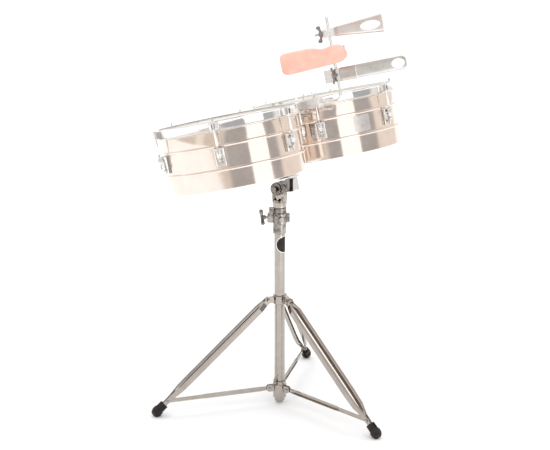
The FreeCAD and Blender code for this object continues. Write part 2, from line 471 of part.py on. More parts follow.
BEND = 12.0
path = Part.Wire([Part.makeLine(V(POST_X, -104, ARM_Z), V(POST_X, POST_Y + BEND, ARM_Z)),
                  Part.Arc(V(POST_X, POST_Y + BEND, ARM_Z), V(POST_X, POST_Y + BEND * (1 - math.sin(math.radians(45))), ARM_Z + BEND * (1 - math.cos(math.radians(45)))),
                           V(POST_X, POST_Y, ARM_Z + BEND)).toShape(),
                  Part.makeLine(V(POST_X, POST_Y, ARM_Z + BEND), V(POST_X, POST_Y, POST_TOP))])
circ = Part.Wire([Part.makeCircle(POST_R, V(POST_X, -104, ARM_Z), V(0, 1, 0))])
post = path.makePipeShell([circ], True, False)
save("bell_post", tilt(post))


# ---------------------------------------------------------------- bells and block, post frame
def rsec(x, hy, hz, zc, r):
    """Rounded rectangle in the plane x, half sizes hy and hz."""
    pts = []
    for cy, cz, a0 in ((hy - r, hz - r, 0), (-hy + r, hz - r, 90), (-hy + r, -hz + r, 180), (hy - r, -hz + r, 270)):
        for k in range(5):
            a = math.radians(a0 + 22.5 * k)
            pts.append(V(x, cy + r * math.cos(a), zc + cz + r * math.sin(a)))
    return pts


def bell(x0, x1, hy0, hz0, hy1, hz1, zc0, zc1, r0, r1, t, closed):
    out = ring_loft([rsec(x0, hy0, hz0, zc0, r0), rsec(x1, hy1, hz1, zc1, r1)])
    f = closed / (x1 - x0)
    inn = ring_loft([rsec(x0 + closed, hy0 + (hy1 - hy0) * f - t, hz0 + (hz1 - hz0) * f - t, zc0 + (zc1 - zc0) * f, max(r0 - t, 1.0)),
                     rsec(x1 + 0.5, hy1 - t, hz1 - t, zc1, max(r1 - t, 1.0))])
    return cut(out, inn)


def eyebolt(shank, z):
    """Eye round the post, shank along -X."""
    e = fuse([cyl(8.6, 8.0, (0, 0, z - 4.0)), cyl(3.0, shank, (-6.0, 0, z), (-1, 0, 0))])
    return cut(e, cyl(POST_R + 0.06, 20, (0, 0, z - 10)))


def strap(x_plate, x_in, x_end, half_y, half_z, z, t=3.0, hole=3.3):
    """U-strap: plate across the eyebolt and two arms running back to the bell."""
    s = fuse([box(x_plate - t, x_plate, -half_y, half_y, z - half_z, z + half_z),
              box(x_plate - t, x_end, -half_y, -half_y + t, z - half_z, z + half_z),
              box(x_plate - t, x_end, half_y - t, half_y, z - half_z, z + half_z)])
    s = cut(s, cyl(hole, 30, (x_plate - 20, 0, z), (1, 0, 0)))
    return s


# cha bell
cb = bell(18.0, 136.0, 21.0, 11.6, 38.0, 22.5, CHA_Z, CHA_Z - 1.0, 4.0, 7.0, 2.0, 2.2)
cs = strap(-12.0, 0, 19.0, 13.5, 10.5, CHA_Z)
lip = box(15.5, 19.0, -19.5, 19.5, CHA_Z - 10.8, CHA_Z + 10.8)
cha = fuse([cb, cs, lip])
save("cha_bell", acc(cha))
save("cha_bell_eyebolt", acc(eyebolt(30.0, CHA_Z)))
wn = place(wing(6.2, 11, 43, 16.5, 4.4, 3.06), (-15.15, 0, CHA_Z), (-1, 0, 0))
save("cha_bell_wing_nut", acc(wn))

# mambo bell
mb = bell(9.2, 176.0, 27.0, 17.0, 47.0, 17.6, MAMBO_Z, MAMBO_Z, 6.0, 8.0, 2.2, 2.4)
MROT = 24.0
plate = fuse([box(-24, 19, -15.5, -12.5, MAMBO_Z - 16, MAMBO_Z + 16), box(-27, -24, -15.5, -5.0, MAMBO_Z - 16, MAMBO_Z + 16)])
plate = cut(plate, cyl(3.3, 30, (0, -30, MAMBO_Z), (0, 1, 0)))
plate = turn(plate, -MROT)
px, py = 19 * math.cos(math.radians(-MROT)) + 14 * math.sin(math.radians(-MROT)), -19 * math.sin(math.radians(MROT)) - 14 * math.cos(math.radians(MROT))
link = box(px - 3.0, 12.0, py - 1.2, py + 1.8, MAMBO_Z - 15, MAMBO_Z + 15) if px < 11 else box(7.0, px + 1.5, py - 1.2, py + 1.8, MAMBO_Z - 15, MAMBO_Z + 15)
far = box(9.0, 11.6, -24, 24, MAMBO_Z - 15.5, MAMBO_Z + 15.5)
mambo = fuse([mb, plate, link, far])
mambo = cut(mambo, ring_loft([rsec(11.6, 27.0 - 2.2, 17.0 - 2.2, MAMBO_Z, 4.0), rsec(176.5, 47.0 - 2.2, 17.6 - 2.2, MAMBO_Z, 5.8)]))
save("mambo_bell", acc(mambo))
eb = turn(turn(eyebolt(33.0, 0.0), 90), -MROT)
save("mambo_bell_eyebolt", acc(move(eb, 0, 0, MAMBO_Z)))
wn = place(turn(wing(6.2, 11, 43, 16.5, 4.4, 3.06), 90), (0, 0, 0), (-1, 0, 0))
wn = turn(turn(move(wn, -15.65, 0, 0), 90), -MROT)
save("mambo_bell_wing_nut", acc(move(wn, 0, 0, MAMBO_Z)))

# jam block, in front of the post
BY0, BY1 = -60.0, -8.0
out = [(-129, 343), (-133, 336), (-134, 318), (-132.5, 300), (-128, 291), (-118, 290), (-62, 293), (-20, 294.5), (19, 298), (31, 305), (34.5, 314), (34, 325), (27, 335), (15, 342),
       (0, 343), (-12, 340), (-29, 338), (-46, 344.5), (-70, 346), (-100, 345)]
jb = prism(out, BY1 - BY0, "y", BY0)
jb = soft(jb, 6.0, lambda e: abs(e.CenterOfMass.y - BY0) < 0.1 or abs(e.CenterOfMass.y - BY1) < 0.1)
slot = box(-118, -22, -40.0, BY1 + 5, 308, 322)
cav = box(-118, -22, -50.0, -14.0, 302, 334)
jb = cut(jb, [slot, cav])
jb = cut(jb, cyl(3.0, 80, (STUD_X, -36.0, STUD_Z), (0, 1, 0)))
save("jam_block", acc(jb))
# split clamp between block and post, closed by the wing nut on the block's stud
jc = soft(box(-11, 33, -7.7, 13.0, 309, 337), 2.5, lambda e: abs(e.tangentAt(e.FirstParameter).z) > 0.99)
jc = cut(jc, [cyl(POST_R + 0.08, 60, (0, 0, 290)), box(3.0, 40, -0.8, 0.8, 300, 345), cyl(3.06, 60, (STUD_X, -30, STUD_Z), (0, 1, 0))])
save("jam_block_clamp", acc(jc))
save("jam_block_stud", acc(cyl(3.0, 58.0, (STUD_X, -36.0, STUD_Z), (0, 1, 0))))
jn = turn(move(turn(place(wing(5.6, 9.0, 40, 14.5, 4.0, 3.06), (0, 0, 0), (0, 1, 0)), 90 - STUD_LEAN, d=(0, 1, 0)), 0, 0, 0), 0)
save("jam_block_wing_nut", acc(move(jn, STUD_X, 13.3, STUD_Z)))
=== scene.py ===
import math
import random
import bpy
import bmesh
from mathutils import Matrix, Vector


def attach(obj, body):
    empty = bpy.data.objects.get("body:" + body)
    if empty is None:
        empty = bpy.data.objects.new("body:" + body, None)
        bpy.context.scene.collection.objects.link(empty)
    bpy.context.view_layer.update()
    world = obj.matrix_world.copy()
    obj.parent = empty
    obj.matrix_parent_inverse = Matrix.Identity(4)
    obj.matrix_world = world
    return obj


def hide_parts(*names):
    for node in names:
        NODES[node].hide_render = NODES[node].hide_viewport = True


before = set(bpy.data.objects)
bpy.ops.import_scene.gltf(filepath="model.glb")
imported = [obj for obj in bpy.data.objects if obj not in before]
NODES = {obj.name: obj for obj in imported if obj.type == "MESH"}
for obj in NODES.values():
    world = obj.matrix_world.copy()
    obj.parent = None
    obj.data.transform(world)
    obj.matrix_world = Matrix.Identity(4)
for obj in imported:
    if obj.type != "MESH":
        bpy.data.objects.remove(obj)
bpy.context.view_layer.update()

random.seed(7)
scene = bpy.context.scene
RAD = math.radians

# ------------------------------------------------------------------ frames
TILT = 13.9
MAT_D = Matrix.Translation((0, 0, 0.614)) @ Matrix.Rotation(RAD(-TILT), 4, "X")
POST = (0.0129, -0.243)
MAT_P = MAT_D @ Matrix.Translation((POST[0], POST[1], 0)) @ Matrix.Rotation(RAD(-52.7), 4, "Z")
I4 = Matrix.Identity(4)
SMALL = dict(name="small", R=0.1778, x=-0.189)
LARGE = dict(name="large", R=0.1905, x=0.2275)
DRUM_Y = -0.0303
RIM = 0.052


# ------------------------------------------------------------------ materials
def new_mat(name):
    m = bpy.data.materials.new(name)
    m.use_nodes = True
    nt = m.node_tree
    bsdf = next(n for n in nt.nodes if n.type == "BSDF_PRINCIPLED")
    return m, nt, bsdf


def noise(nt, scale, detail=4.0, rough=0.55, coord=None, stretch=None):
    tc = nt.nodes.new("ShaderNodeTexCoord")
    mp = nt.nodes.new("ShaderNodeMapping")
    if stretch:
        mp.inputs["Scale"].default_value = stretch
    nt.links.new(tc.outputs["Object"], mp.inputs["Vector"])
    n = nt.nodes.new("ShaderNodeTexNoise")
    n.inputs["Scale"].default_value = scale
    n.inputs["Detail"].default_value = detail
    n.inputs["Roughness"].default_value = rough
    nt.links.new(mp.outputs["Vector"], n.inputs["Vector"])
    return n


def ramp(nt, src, stops, interp="LINEAR"):
    r = nt.nodes.new("ShaderNodeValToRGB")
    r.color_ramp.interpolation = interp
    els = r.color_ramp.elements
    while len(els) > 1:
        els.remove(els[-1])
    els[0].position = stops[0][0]
    els[0].color = (*stops[0][1], 1.0)
    for p, c in stops[1:]:
        e = els.new(p)
        e.color = (*c, 1.0)
    nt.links.new(src, r.inputs["Fac"])
    return r


def map_range(nt, src, a, b, c, d):
    n = nt.nodes.new("ShaderNodeMapRange")
    for k, v in (("From Min", a), ("From Max", b), ("To Min", c), ("To Max", d)):
        n.inputs[k].default_value = v
    nt.links.new(src, n.inputs["Value"])
    return n


def add_bump(nt, bsdf, pairs):
    """pairs: (height socket, strength, distance); chained bump nodes."""
    prev = None
    for h, s, dist in pairs:
        b = nt.nodes.new("ShaderNodeBump")
        b.inputs["Strength"].default_value = s
        b.inputs["Distance"].default_value = dist
        nt.links.new(h, b.inputs["Height"])
        if prev is not None:
            nt.links.new(prev.outputs["Normal"], b.inputs["Normal"])
        prev = b
    nt.links.new(prev.outputs["Normal"], bsdf.inputs["Normal"])


def metal(name, lo, hi, r0, r1, grime=(0.5, 0.47, 0.43), smudge=40.0, scratch=0.02, metallic=1.0, wear=0.62):
    m, nt, b = new_mat(name)
    big = noise(nt, smudge, 5.0, 0.6)
    fine = noise(nt, 900.0, 2.0, 0.5, stretch=(1.0, 1.0, 0.12))
    spots = noise(nt, 260.0, 3.0, 0.6)
    col = ramp(nt, big.outputs["Fac"], [(0.32, lo), (0.68, hi)])
    mask = ramp(nt, spots.outputs["Fac"], [(wear, (0, 0, 0)), (wear + 0.12, (1, 1, 1))])
    mix = nt.nodes.new("ShaderNodeMix")
    mix.data_type = "RGBA"
    nt.links.new(mask.outputs["Color"], mix.inputs["Factor"])
    nt.links.new(col.outputs["Color"], mix.inputs["A"])
    mix.inputs["B"].default_value = (*grime, 1.0)
    nt.links.new(mix.outputs["Result"], b.inputs["Base Color"])
    b.inputs["Metallic"].default_value = metallic
    rr = map_range(nt, big.outputs["Fac"], 0.3, 0.7, r0, r1)
    nt.links.new(rr.outputs["Result"], b.inputs["Roughness"])
    add_bump(nt, b, [(big.outputs["Fac"], scratch, 0.004), (fine.outputs["Fac"], scratch * 1.4, 0.0004)])
    return m


def plastic(name, lo, hi, r0, r1, bump=0.1, scale=60.0, grain=700.0, coat=0.0):
    m, nt, b = new_mat(name)
    big = noise(nt, scale, 5.0, 0.6)
    fine = noise(nt, grain, 3.0, 0.6)
    col = ramp(nt, big.outputs["Fac"], [(0.3, lo), (0.7, hi)])
    nt.links.new(col.outputs["Color"], b.inputs["Base Color"])
    rr = map_range(nt, fine.outputs["Fac"], 0.3, 0.7, r0, r1)
    nt.links.new(rr.outputs["Result"], b.inputs["Roughness"])
    b.inputs["Coat Weight"].default_value = coat
    add_bump(nt, b, [(big.outputs["Fac"], bump, 0.002), (fine.outputs["Fac"], bump * 0.6, 0.0003)])
    return m


M = {}
M["chrome"] = metal("chrome_pale", (0.86, 0.85, 0.84), (0.95, 0.94, 0.93), 0.05, 0.14)
M["chrome_stand"] = metal("chrome_stand", (0.40, 0.36, 0.325), (0.47, 0.425, 0.385), 0.04, 0.13, grime=(0.30, 0.26, 0.22))
M["chrome_dark"] = metal("chrome_dark", (0.16, 0.15, 0.14), (0.30, 0.275, 0.25), 0.10, 0.24, grime=(0.05, 0.045, 0.04))
M["chrome_mid"] = metal("chrome_collar", (0.12, 0.108, 0.098), (0.52, 0.475, 0.435), 0.05, 0.15, grime=(0.10, 0.09, 0.08), smudge=75.0, scratch=0.16)
M["chrome_soft"] = metal("chrome_soft", (0.80, 0.78, 0.76), (0.90, 0.885, 0.87), 0.24, 0.38, grime=(0.55, 0.52, 0.49), metallic=0.35)
M["chrome_tee"] = metal("chrome_tee", (0.09, 0.08, 0.075), (0.40, 0.36, 0.335), 0.06, 0.16, grime=(0.08, 0.07, 0.065), smudge=70.0, scratch=0.16)
M["chrome_tilter"] = metal("chrome_tilter", (0.10, 0.088, 0.08), (0.38, 0.34, 0.31), 0.08, 0.20, grime=(0.03, 0.025, 0.022), smudge=95.0, scratch=0.22)
M["steel"] = metal("plated_steel", (0.66, 0.64, 0.61), (0.80, 0.78, 0.75), 0.18, 0.34, grime=(0.35, 0.33, 0.30))
M["bronze"] = metal("shell_bronze", (0.85, 0.745, 0.67), (0.92, 0.82, 0.745), 0.06, 0.15, grime=(0.80, 0.62, 0.50), smudge=22.0, scratch=0.012)
M["bronze_in"] = metal("shell_inside", (0.62, 0.45, 0.34), (0.74, 0.56, 0.44), 0.25, 0.42, grime=(0.34, 0.22, 0.15), smudge=18.0)
M["bell_low"] = metal("bell_steel_low", (0.68, 0.655, 0.635), (0.78, 0.755, 0.735), 0.26, 0.42, grime=(0.5, 0.45, 0.41), smudge=30.0, scratch=0.05)
M["bell_high"] = metal("bell_steel_high", (0.80, 0.735, 0.71), (0.89, 0.83, 0.805), 0.22, 0.38, grime=(0.55, 0.48, 0.45), smudge=30.0, scratch=0.05)
# darker copy of the bell steel for the closed end of both bells: painted shade
M["bell_end_shade"] = metal("bell_closed_end_shade", (0.62, 0.56, 0.525), (0.74, 0.69, 0.655), 0.26, 0.42, grime=(0.38, 0.30, 0.25), smudge=34.0, scratch=0.05)


def end_block_and_gap_shade(m):
    """Brighter cast end on the tilter arm, past a dark gap of painted shade, measured along the row of the arm; beyond
    the end the colour turns darker again.
    """
    nt = m.node_tree
    b = next(n for n in nt.nodes if n.type == "BSDF_PRINCIPLED")
    old = b.inputs["Base Color"].links[0].from_socket
    co = nt.nodes.new("ShaderNodeTexCoord")
    dot = nt.nodes.new("ShaderNodeVectorMath")
    dot.operation = "DOT_PRODUCT"
    dot.inputs[1].default_value = (0.606, -0.795, 0.0)
    nt.links.new(co.outputs["Object"], dot.inputs[0])
    k = map_range(nt, dot.outputs["Value"], 0.020, 0.060, 0.0, 1.0)
    lift = ramp(nt, k.outputs["Result"], [(0.10, (0, 0, 0)), (0.36, (0, 0, 0)), (0.40, (1, 1, 1)), (0.78, (1, 1, 1)), (0.84, (0.35, 0.35, 0.35))])
    mix = nt.nodes.new("ShaderNodeMix")
    mix.data_type = "RGBA"
    nt.links.new(lift.outputs["Color"], mix.inputs["Factor"])
    nt.links.new(old, mix.inputs["A"])
    mix.inputs["B"].default_value = (0.80, 0.79, 0.78, 1.0)
    # painted shade: a dark band stands in for the gap between the arm and its end, and the colour is darker past the
    # end
    gap_shade = ramp(nt, k.outputs["Result"], [(0.13, (1, 1, 1)), (0.17, (0.10, 0.09, 0.08)), (0.36, (0.10, 0.09, 0.08)), (0.40, (1, 1, 1)), (0.78, (1, 1, 1)), (0.84, (0.3, 0.28, 0.26))])
    mul = nt.nodes.new("ShaderNodeMix")
    mul.data_type, mul.blend_type = "RGBA", "MULTIPLY"
    mul.inputs["Factor"].default_value = 1.0
    nt.links.new(mix.outputs["Result"], mul.inputs["A"])
    nt.links.new(gap_shade.outputs["Color"], mul.inputs["B"])
    nt.links.new(mul.outputs["Result"], b.inputs["Base Color"])
    nt.links.new(map_range(nt, lift.outputs["Color"], 0.0, 1.0, 0.16, 0.42).outputs["Result"], b.inputs["Roughness"])


end_block_and_gap_shade(M["chrome_tilter"])
M["dark"] = plastic("dark_coat", (0.20, 0.185, 0.185), (0.30, 0.28, 0.28), 0.38, 0.55, bump=0.12)
M["rubber"] = plastic("rubber_foot", (0.012, 0.010, 0.009), (0.035, 0.030, 0.027), 0.42, 0.66, bump=0.25, scale=90.0)
next(n for n in M["rubber"].node_tree.nodes if n.type == "BSDF_PRINCIPLED").inputs["Specular IOR Level"].default_value = 0.22
M["block"] = plastic("block_coral", (0.93, 0.43, 0.34), (0.98, 0.56, 0.46), 0.30, 0.46, bump=0.10, scale=34.0, coat=0.25)
# darker copy of the block plastic for the inside of the slot: painted shade
M["block_slot_shade"] = plastic("block_slot_painted_shade", (0.50, 0.16, 0.12), (0.62, 0.22, 0.17), 0.55, 0.7, bump=0.2)
M["film"] = plastic("head_film", (0.74, 0.725, 0.68), (0.81, 0.795, 0.75), 0.30, 0.44, bump=0.05, scale=24.0, coat=0.1)
M["label"] = plastic("label_white", (0.93, 0.92, 0.91), (0.98, 0.97, 0.97), 0.28, 0.42, bump=0.03)
M["plate"] = metal("label_plate", (0.74, 0.69, 0.67), (0.82, 0.77, 0.75), 0.22, 0.36, grime=(0.6, 0.55, 0.52), metallic=0.75)
M["badge_dark"] = plastic("badge_dark", (0.018, 0.016, 0.015), (0.04, 0.036, 0.033), 0.30, 0.45, bump=0.05)
next(n for n in M["badge_dark"].node_tree.nodes if n.type == "BSDF_PRINCIPLED").inputs["Specular IOR Level"].default_value = 0.18


def paint(obj, *mats):
    keep = [p.material_index for p in obj.data.polygons] if len(mats) > 1 else None
    obj.data.materials.clear()
    for m in mats:
        obj.data.materials.append(M[m] if isinstance(m, str) else m)
    if keep:
        for p, i in zip(obj.data.polygons, keep):
            p.material_index = min(i, len(mats) - 1)
    return obj


# ------------------------------------------------------------------ mesh helpers
def to_obj(name, bm, mat_world, mats, body=None, repl=(), smooth=32.0, bevel=None, subsurf=0):
    bmesh.ops.remove_doubles(bm, verts=bm.verts, dist=1e-7)
    bmesh.ops.recalc_face_normals(bm, faces=bm.faces)
    me = bpy.data.meshes.new(name)
    bm.to_mesh(me)
    bm.free()
    me.transform(mat_world)
    ob = bpy.data.objects.new(name, me)
    scene.collection.objects.link(ob)
    for p in me.polygons:
        p.use_smooth = True
    me.set_sharp_from_angle(angle=RAD(smooth))
    paint(ob, *([mats] if isinstance(mats, str) else mats))
    if bevel:
        b = ob.modifiers.new("bevel", "BEVEL")
        b.width, b.segments = bevel[0], bevel[1]
        b.limit_method, b.angle_limit = "ANGLE", RAD(40)
        b.harden_normals = False
    if subsurf:
        s = ob.modifiers.new("sub", "SUBSURF")
        s.levels = s.render_levels = subsurf
    if body:
        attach(ob, body)
    if repl:
        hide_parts(*repl)
    return ob


def add_lathe(bm, prof, n=96, m=I4, a0=0.0, a1=360.0, closed=True, mat=0):
    """Closed profile of (r, z) in metres turned about Z."""
    full = abs(a1 - a0 - 360.0) < 1e-6
    cols = n if full else n + 1
    rings = []
    for i in range(cols):
        a = RAD(a0 + (a1 - a0) * i / n)
        rings.append([bm.verts.new(m @ Vector((r * math.cos(a), r * math.sin(a), z))) for r, z in prof])
    k = len(prof)
    for i in range(n):
        A, B = rings[i], rings[(i + 1) % cols]
        for j in range(k if closed else k - 1):
            v = [A[j], B[j], B[(j + 1) % k], A[(j + 1) % k]]
            try:
                f = bm.faces.new(v)
                f.material_index = mat
            except ValueError:
                pass
    if not full:
        bm.faces.new(rings[0]).material_index = mat
        bm.faces.new(list(reversed(rings[-1]))).material_index = mat


def add_solid(bm, prof, n=32, m=I4, mat=0):
    """Turned solid from an open profile that starts and ends on the axis."""
    axis0, axis1 = prof[0], prof[-1]
    mid = prof[1:-1]
    v0 = bm.verts.new(m @ Vector((0, 0, axis0[1])))
    v1 = bm.verts.new(m @ Vector((0, 0, axis1[1])))
    rings = []
    for i in range(n):
        a = 2 * math.pi * i / n
        rings.append([bm.verts.new(m @ Vector((r * math.cos(a), r * math.sin(a), z))) for r, z in mid])
    for i in range(n):
        A, B = rings[i], rings[(i + 1) % n]
        bm.faces.new([v0, B[0], A[0]]).material_index = mat
        bm.faces.new([v1, A[-1], B[-1]]).material_index = mat
        for j in range(len(mid) - 1):
            bm.faces.new([A[j], B[j], B[j + 1], A[j + 1]]).material_index = mat


def add_poly(bm, pts, h, m=I4, mat=0):
    """Prism of polygon pts (x, y) from z 0 to h."""
    lo = [bm.verts.new(m @ Vector((x, y, 0))) for x, y in pts]
    hi = [bm.verts.new(m @ Vector((x, y, h))) for x, y in pts]
    k = len(pts)
    fs = [bm.faces.new(list(reversed(lo))), bm.faces.new(hi)]
    for i in range(k):
        fs.append(bm.faces.new([lo[i], lo[(i + 1) % k], hi[(i + 1) % k], hi[i]]))
    for f in fs:
        f.material_index = mat
    return lo, hi


def add_box(bm, x0, x1, y0, y1, z0, z1, m=I4, mat=0):
    add_poly(bm, [(x0, y0), (x1, y0), (x1, y1), (x0, y1)], z1 - z0, m @ Matrix.Translation((0, 0, z0)), mat)


def hexpts(af):
    r = af / math.sqrt(3.0)
    return [(r * math.cos(RAD(60 * i)), r * math.sin(RAD(60 * i))) for i in range(6)]


def add_hex(bm, af, h, m=I4, mat=0):
    """Hex nut or head with chamfered corners, z 0 to h."""
    r = af / math.sqrt(3.0)
    n = 48
    rings = []
    c = af * 0.5
    ch = (r - c) * 0.6
    for z, shrink in ((0, 1), (ch, 0), (h - ch, 0), (h, 1)):
        ring = []
        for i in range(n):
            a = 2 * math.pi * i / n
            k = math.cos(RAD(30)) / math.cos(((a + RAD(30)) % RAD(60)) - RAD(30))
            rr = r * k
            if shrink:
                rr = min(rr, c * 1.0)
            ring.append(bm.verts.new(m @ Vector((rr * math.cos(a + RAD(0)), rr * math.sin(a), z))))
        rings.append(ring)
    for j in range(3):
        for i in range(n):
            bm.faces.new([rings[j][i], rings[j][(i + 1) % n], rings[j + 1][(i + 1) % n], rings[j + 1][i]]).material_index = mat
    bm.faces.new(list(reversed(rings[0]))).material_index = mat
    bm.faces.new(rings[-1]).material_index = mat


def rot_to(d):
    return Vector((0, 0, 1)).rotation_difference(Vector(d)).to_matrix().to_4x4()


def lug_m(drum, az):
    return MAT_D @ Matrix.Translation((drum["x"], DRUM_Y, 0)) @ Matrix.Rotation(RAD(az), 4, "Z")


# ------------------------------------------------------------------ first pass: materials on the carried-over nodes
STAND = {"outer_tube", "tube_end_plug", "upper_hub", "clamp_collar", "lower_hub", "hub_wing_screw", "inner_tube", "memory_lock", "tilter_yoke",
         "height_tee_screw", "leg_left_bars", "leg_right_bars", "leg_rear_bars", "strut_left", "strut_right", "strut_rear", "leg_pivot_bolts", "strut_hub_pins",
         "leg_left_rivets", "leg_right_rivets", "leg_rear_rivets"}
DARKM = {"tilter_arm", "tilt_ratchet", "tilt_bolt", "arm_cross_bolt"}
for name, o in NODES.items():
    if name in ("height_tee_screw", "memory_lock"):
        mt = "chrome_tee"
    elif name == "clamp_collar":
        mt = "chrome_mid"
    elif name in STAND:
        mt = "chrome_stand"
    elif name in ("mount_bracket", "rod_clamp"):
        mt = "chrome_soft"
    elif name in DARKM:
        mt = "chrome_tilter"
    elif name.endswith("_shell"):
        mt = "bronze"
    elif name.endswith("_head"):
        mt = "film"
    elif name.endswith("_foot"):
        mt = "rubber"
    elif name == "cha_bell":
        mt = "bell_high"
    elif name == "mambo_bell":
        mt = "bell_low"
    elif name == "jam_block_wing_nut":
        mt = "steel"
    elif name.endswith("wing_nut"):
        mt = "dark"
    elif name == "jam_block":
        mt = "block"
    elif name in ("cha_bell_eyebolt", "mambo_bell_eyebolt", "jam_block_stud", "mount_bolts", "small_bracket_bolts", "large_bracket_bolts", "jam_block_clamp"):
        mt = "steel"
    else:
        mt = "chrome"
    paint(o, mt)
    for p in o.data.polygons:
        p.use_smooth = True
    o.data.set_sharp_from_angle(angle=RAD(28))

# ------------------------------------------------------------------ drums
def arc(cx, cz, r, a0, a1, n):
    return [(cx + r * math.cos(RAD(a0 + (a1 - a0) * i / n)), cz + r * math.sin(RAD(a0 + (a1 - a0) * i / n))) for i in range(n + 1)]


def bead(R, z, h, w, n=10):
    """Outward swelling between z - w and z + w."""
    return [(R + h * math.sin(math.pi * i / n) ** 1.15, z - w * math.cos(math.pi * i / n)) for i in range(n + 1)]


def drum_visual(d):
    nm, R, cx = d["name"], d["R"], d["x"]
    base = MAT_D @ Matrix.Translation((cx, DRUM_Y, 0))
    t = 0.0015
    z0 = RIM
    # shell
    outer = [(R - 0.0008, z0), (R, z0 + 0.0009)] + bead(R, z0 + 0.048, 0.0026, 0.0038) + bead(R, z0 + 0.106, 0.0026, 0.0038) + [(R, z0 + 0.1597), (R - 0.0006, z0 + 0.1605)]
    inner = [(R - t, z0 + 0.1599)] + list(reversed(bead(R - t, z0 + 0.106, 0.0022, 0.0028))) + list(reversed(bead(R - t, z0 + 0.048, 0.0022, 0.0028))) + \
            [(R - t, z0 + 0.0045), (R - t - 0.001, z0 + 0.0030), (R - 0.0085, z0 + 0.0024), (R - 0.009, z0 + 0.0012), (R - 0.0085, z0)]
    bm = bmesh.new()
    add_lathe(bm, outer + inner, 256)
    k = len(outer)
    for f in bm.faces:
        c = f.calc_center_median()
        rr = math.hypot(c.x, c.y)
        if rr < R - 0.00125 and c.z > z0 + 0.0005:
            f.material_index = 1
    to_obj(nm + "_shell_v", bm, base, ["bronze", "bronze_in"], "drums", [nm + "_shell"], smooth=40)
    # head
    bm = bmesh.new()
    zr, H = z0 + 0.1475, z0 + 0.1605
    prof = [(0.0, H + 0.0005)]
    for i in range(1, 15):
        prof.append((R * 0.985 * i / 14.0, H + 0.0005))
    prof += [(R + 0.0005, H + 0.0005), (R + 0.0018, H + 0.0003), (R + 0.0024, H - 0.0006), (R + 0.0024, zr + 0.005), (R + 0.0037, zr + 0.005), (R + 0.0039, zr + 0.0046), (R + 0.0039, zr + 0.0004),
             (R + 0.0036, zr), (R + 0.0021, zr), (R + 0.0019, zr + 0.0003), (R + 0.0019, H - 0.0012), (R + 0.0015, H), (0.0, H)]
    add_solid(bm, prof, 192)
    to_obj(nm + "_head_v", bm, base, "film", "drums", [nm + "_head"], smooth=40)
    # hoop
    o = R * 0.034
    a, b = R + 0.00395, R + o
    h0, h1 = z0 + 0.1427, z0 + 0.1674
    prof = [(a, h0 + 0.0004), (a + 0.0004, h0)] + arc(b + 0.0016, h0 + 0.0013, 0.0013, -90, 90, 8) + [(b + 0.0008, h0 + 0.0028), (b + 0.0002, h0 + 0.0034), (b, h0 + 0.0045), (b, h1 - 0.0056), (b + 0.0002, h1 - 0.0048)] + \
        arc(b - 0.0014, h1 - 0.0024, 0.0023, -20, 180, 14) + [(a - 0.0006 + 0.0002, h1 - 0.0034), (a, h1 - 0.0046), (a, zr + 0.0078), (R + 0.0031, zr + 0.0074), (R + 0.0027, zr + 0.0070), (R + 0.0027, zr + 0.0052), (a, zr + 0.0051)]
    bm = bmesh.new()
    add_lathe(bm, prof, 256)
    to_obj(nm + "_hoop_v", bm, base, "chrome", "drums", [nm + "_hoop"], smooth=40)

    hub = R + 0.017
    longs = {-30} if nm == "small" else {210}
    claws, rods, nuts, brs, bbs = (bmesh.new() for _ in range(5))
    for azd in (-90, -30, 30, 90, 150, 210):
        L = Matrix.Translation((cx, DRUM_Y, 0)) @ Matrix.Rotation(RAD(azd), 4, "Z")
        # claw: two cheeks, a floor and a cap welded to the hoop
        for s in (1, -1):
            pts = [(b - 0.0003, s * 0.012), (R + 0.0135, s * 0.012), (R + 0.0186, s * 0.0092), (R + 0.0222, s * 0.0062), (R + 0.0222, s * 0.0040), (b - 0.0003, s * 0.0056)]
            if s < 0:
                pts = list(reversed(pts))
            add_poly(claws, pts, 0.0172, L @ Matrix.Translation((0, 0, 0.1984)))
        capp = [(b + 0.0006, -0.0112), (R + 0.0135, -0.0112), (R + 0.0186, -0.0088), (R + 0.0228, -0.0046), (R + 0.0228, 0.0046), (R + 0.0186, 0.0088), (R + 0.0135, 0.0112), (b + 0.0006, 0.0112)]
        for zz, hh in ((0.2128, 0.0032), (0.198, 0.003)):
            add_poly(claws, capp, hh, L @ Matrix.Translation((0, 0, zz)))
        # rod with rolled thread, collar and square head
        up = 0.004 if azd in longs else 0.0
        zt = 0.216 + up
        prof = [(0, 0.122), (0.0022, 0.122), (0.0029, 0.1228)]
        z = 0.1236
        while z < 0.160:
            prof += [(0.00300, z), (0.00258, z + 0.0004)]
            z += 0.0008
        prof += [(0.0030, 0.1612), (0.0030, zt), (0.0059, zt), (0.0061, zt + 0.0003), (0.0061, zt + 0.0013), (0.0058, zt + 0.0017), (0.0048, zt + 0.0022), (0.0044, zt + 0.0026), (0.0, zt + 0.0026)]
        add_solid(rods, prof, 24, L @ Matrix.Translation((hub, 0, 0)))
        sq = [(-0.0026, -0.0020), (-0.0020, -0.0026), (0.0020, -0.0026), (0.0026, -0.0020), (0.0026, 0.0020), (0.0020, 0.0026), (-0.0020, 0.0026), (-0.0026, 0.0020)]
        add_poly(rods, sq, 0.0062, L @ Matrix.Translation((hub, 0, zt + 0.0024)))
        add_poly(rods, [(x * 0.8, y * 0.8) for x, y in sq], 0.0006, L @ Matrix.Translation((hub, 0, zt + 0.0085)))
        # nut: collar, hex and washer
        add_hex(nuts, 0.0115, 0.0150, L @ Matrix.Translation((hub, 0, 0.135)))
        add_lathe(nuts, [(0.00302, 0.149), (0.0067, 0.149), (0.0069, 0.1492), (0.0069, 0.1503), (0.0067, 0.1505), (0.00302, 0.1505)], 32, L @ Matrix.Translation((hub, 0, 0)))
        add_lathe(nuts, [(0.00302, 0.1305), (0.0044, 0.1305), (0.0051, 0.1312), (0.0052, 0.1320), (0.0052, 0.1352), (0.00302, 0.1352)], 32, L @ Matrix.Translation((hub, 0, 0)))
        # shell bracket: folded plate with low side flanges and a top tab
        zb, zt2 = z0 + 0.0576, z0 + 0.1016

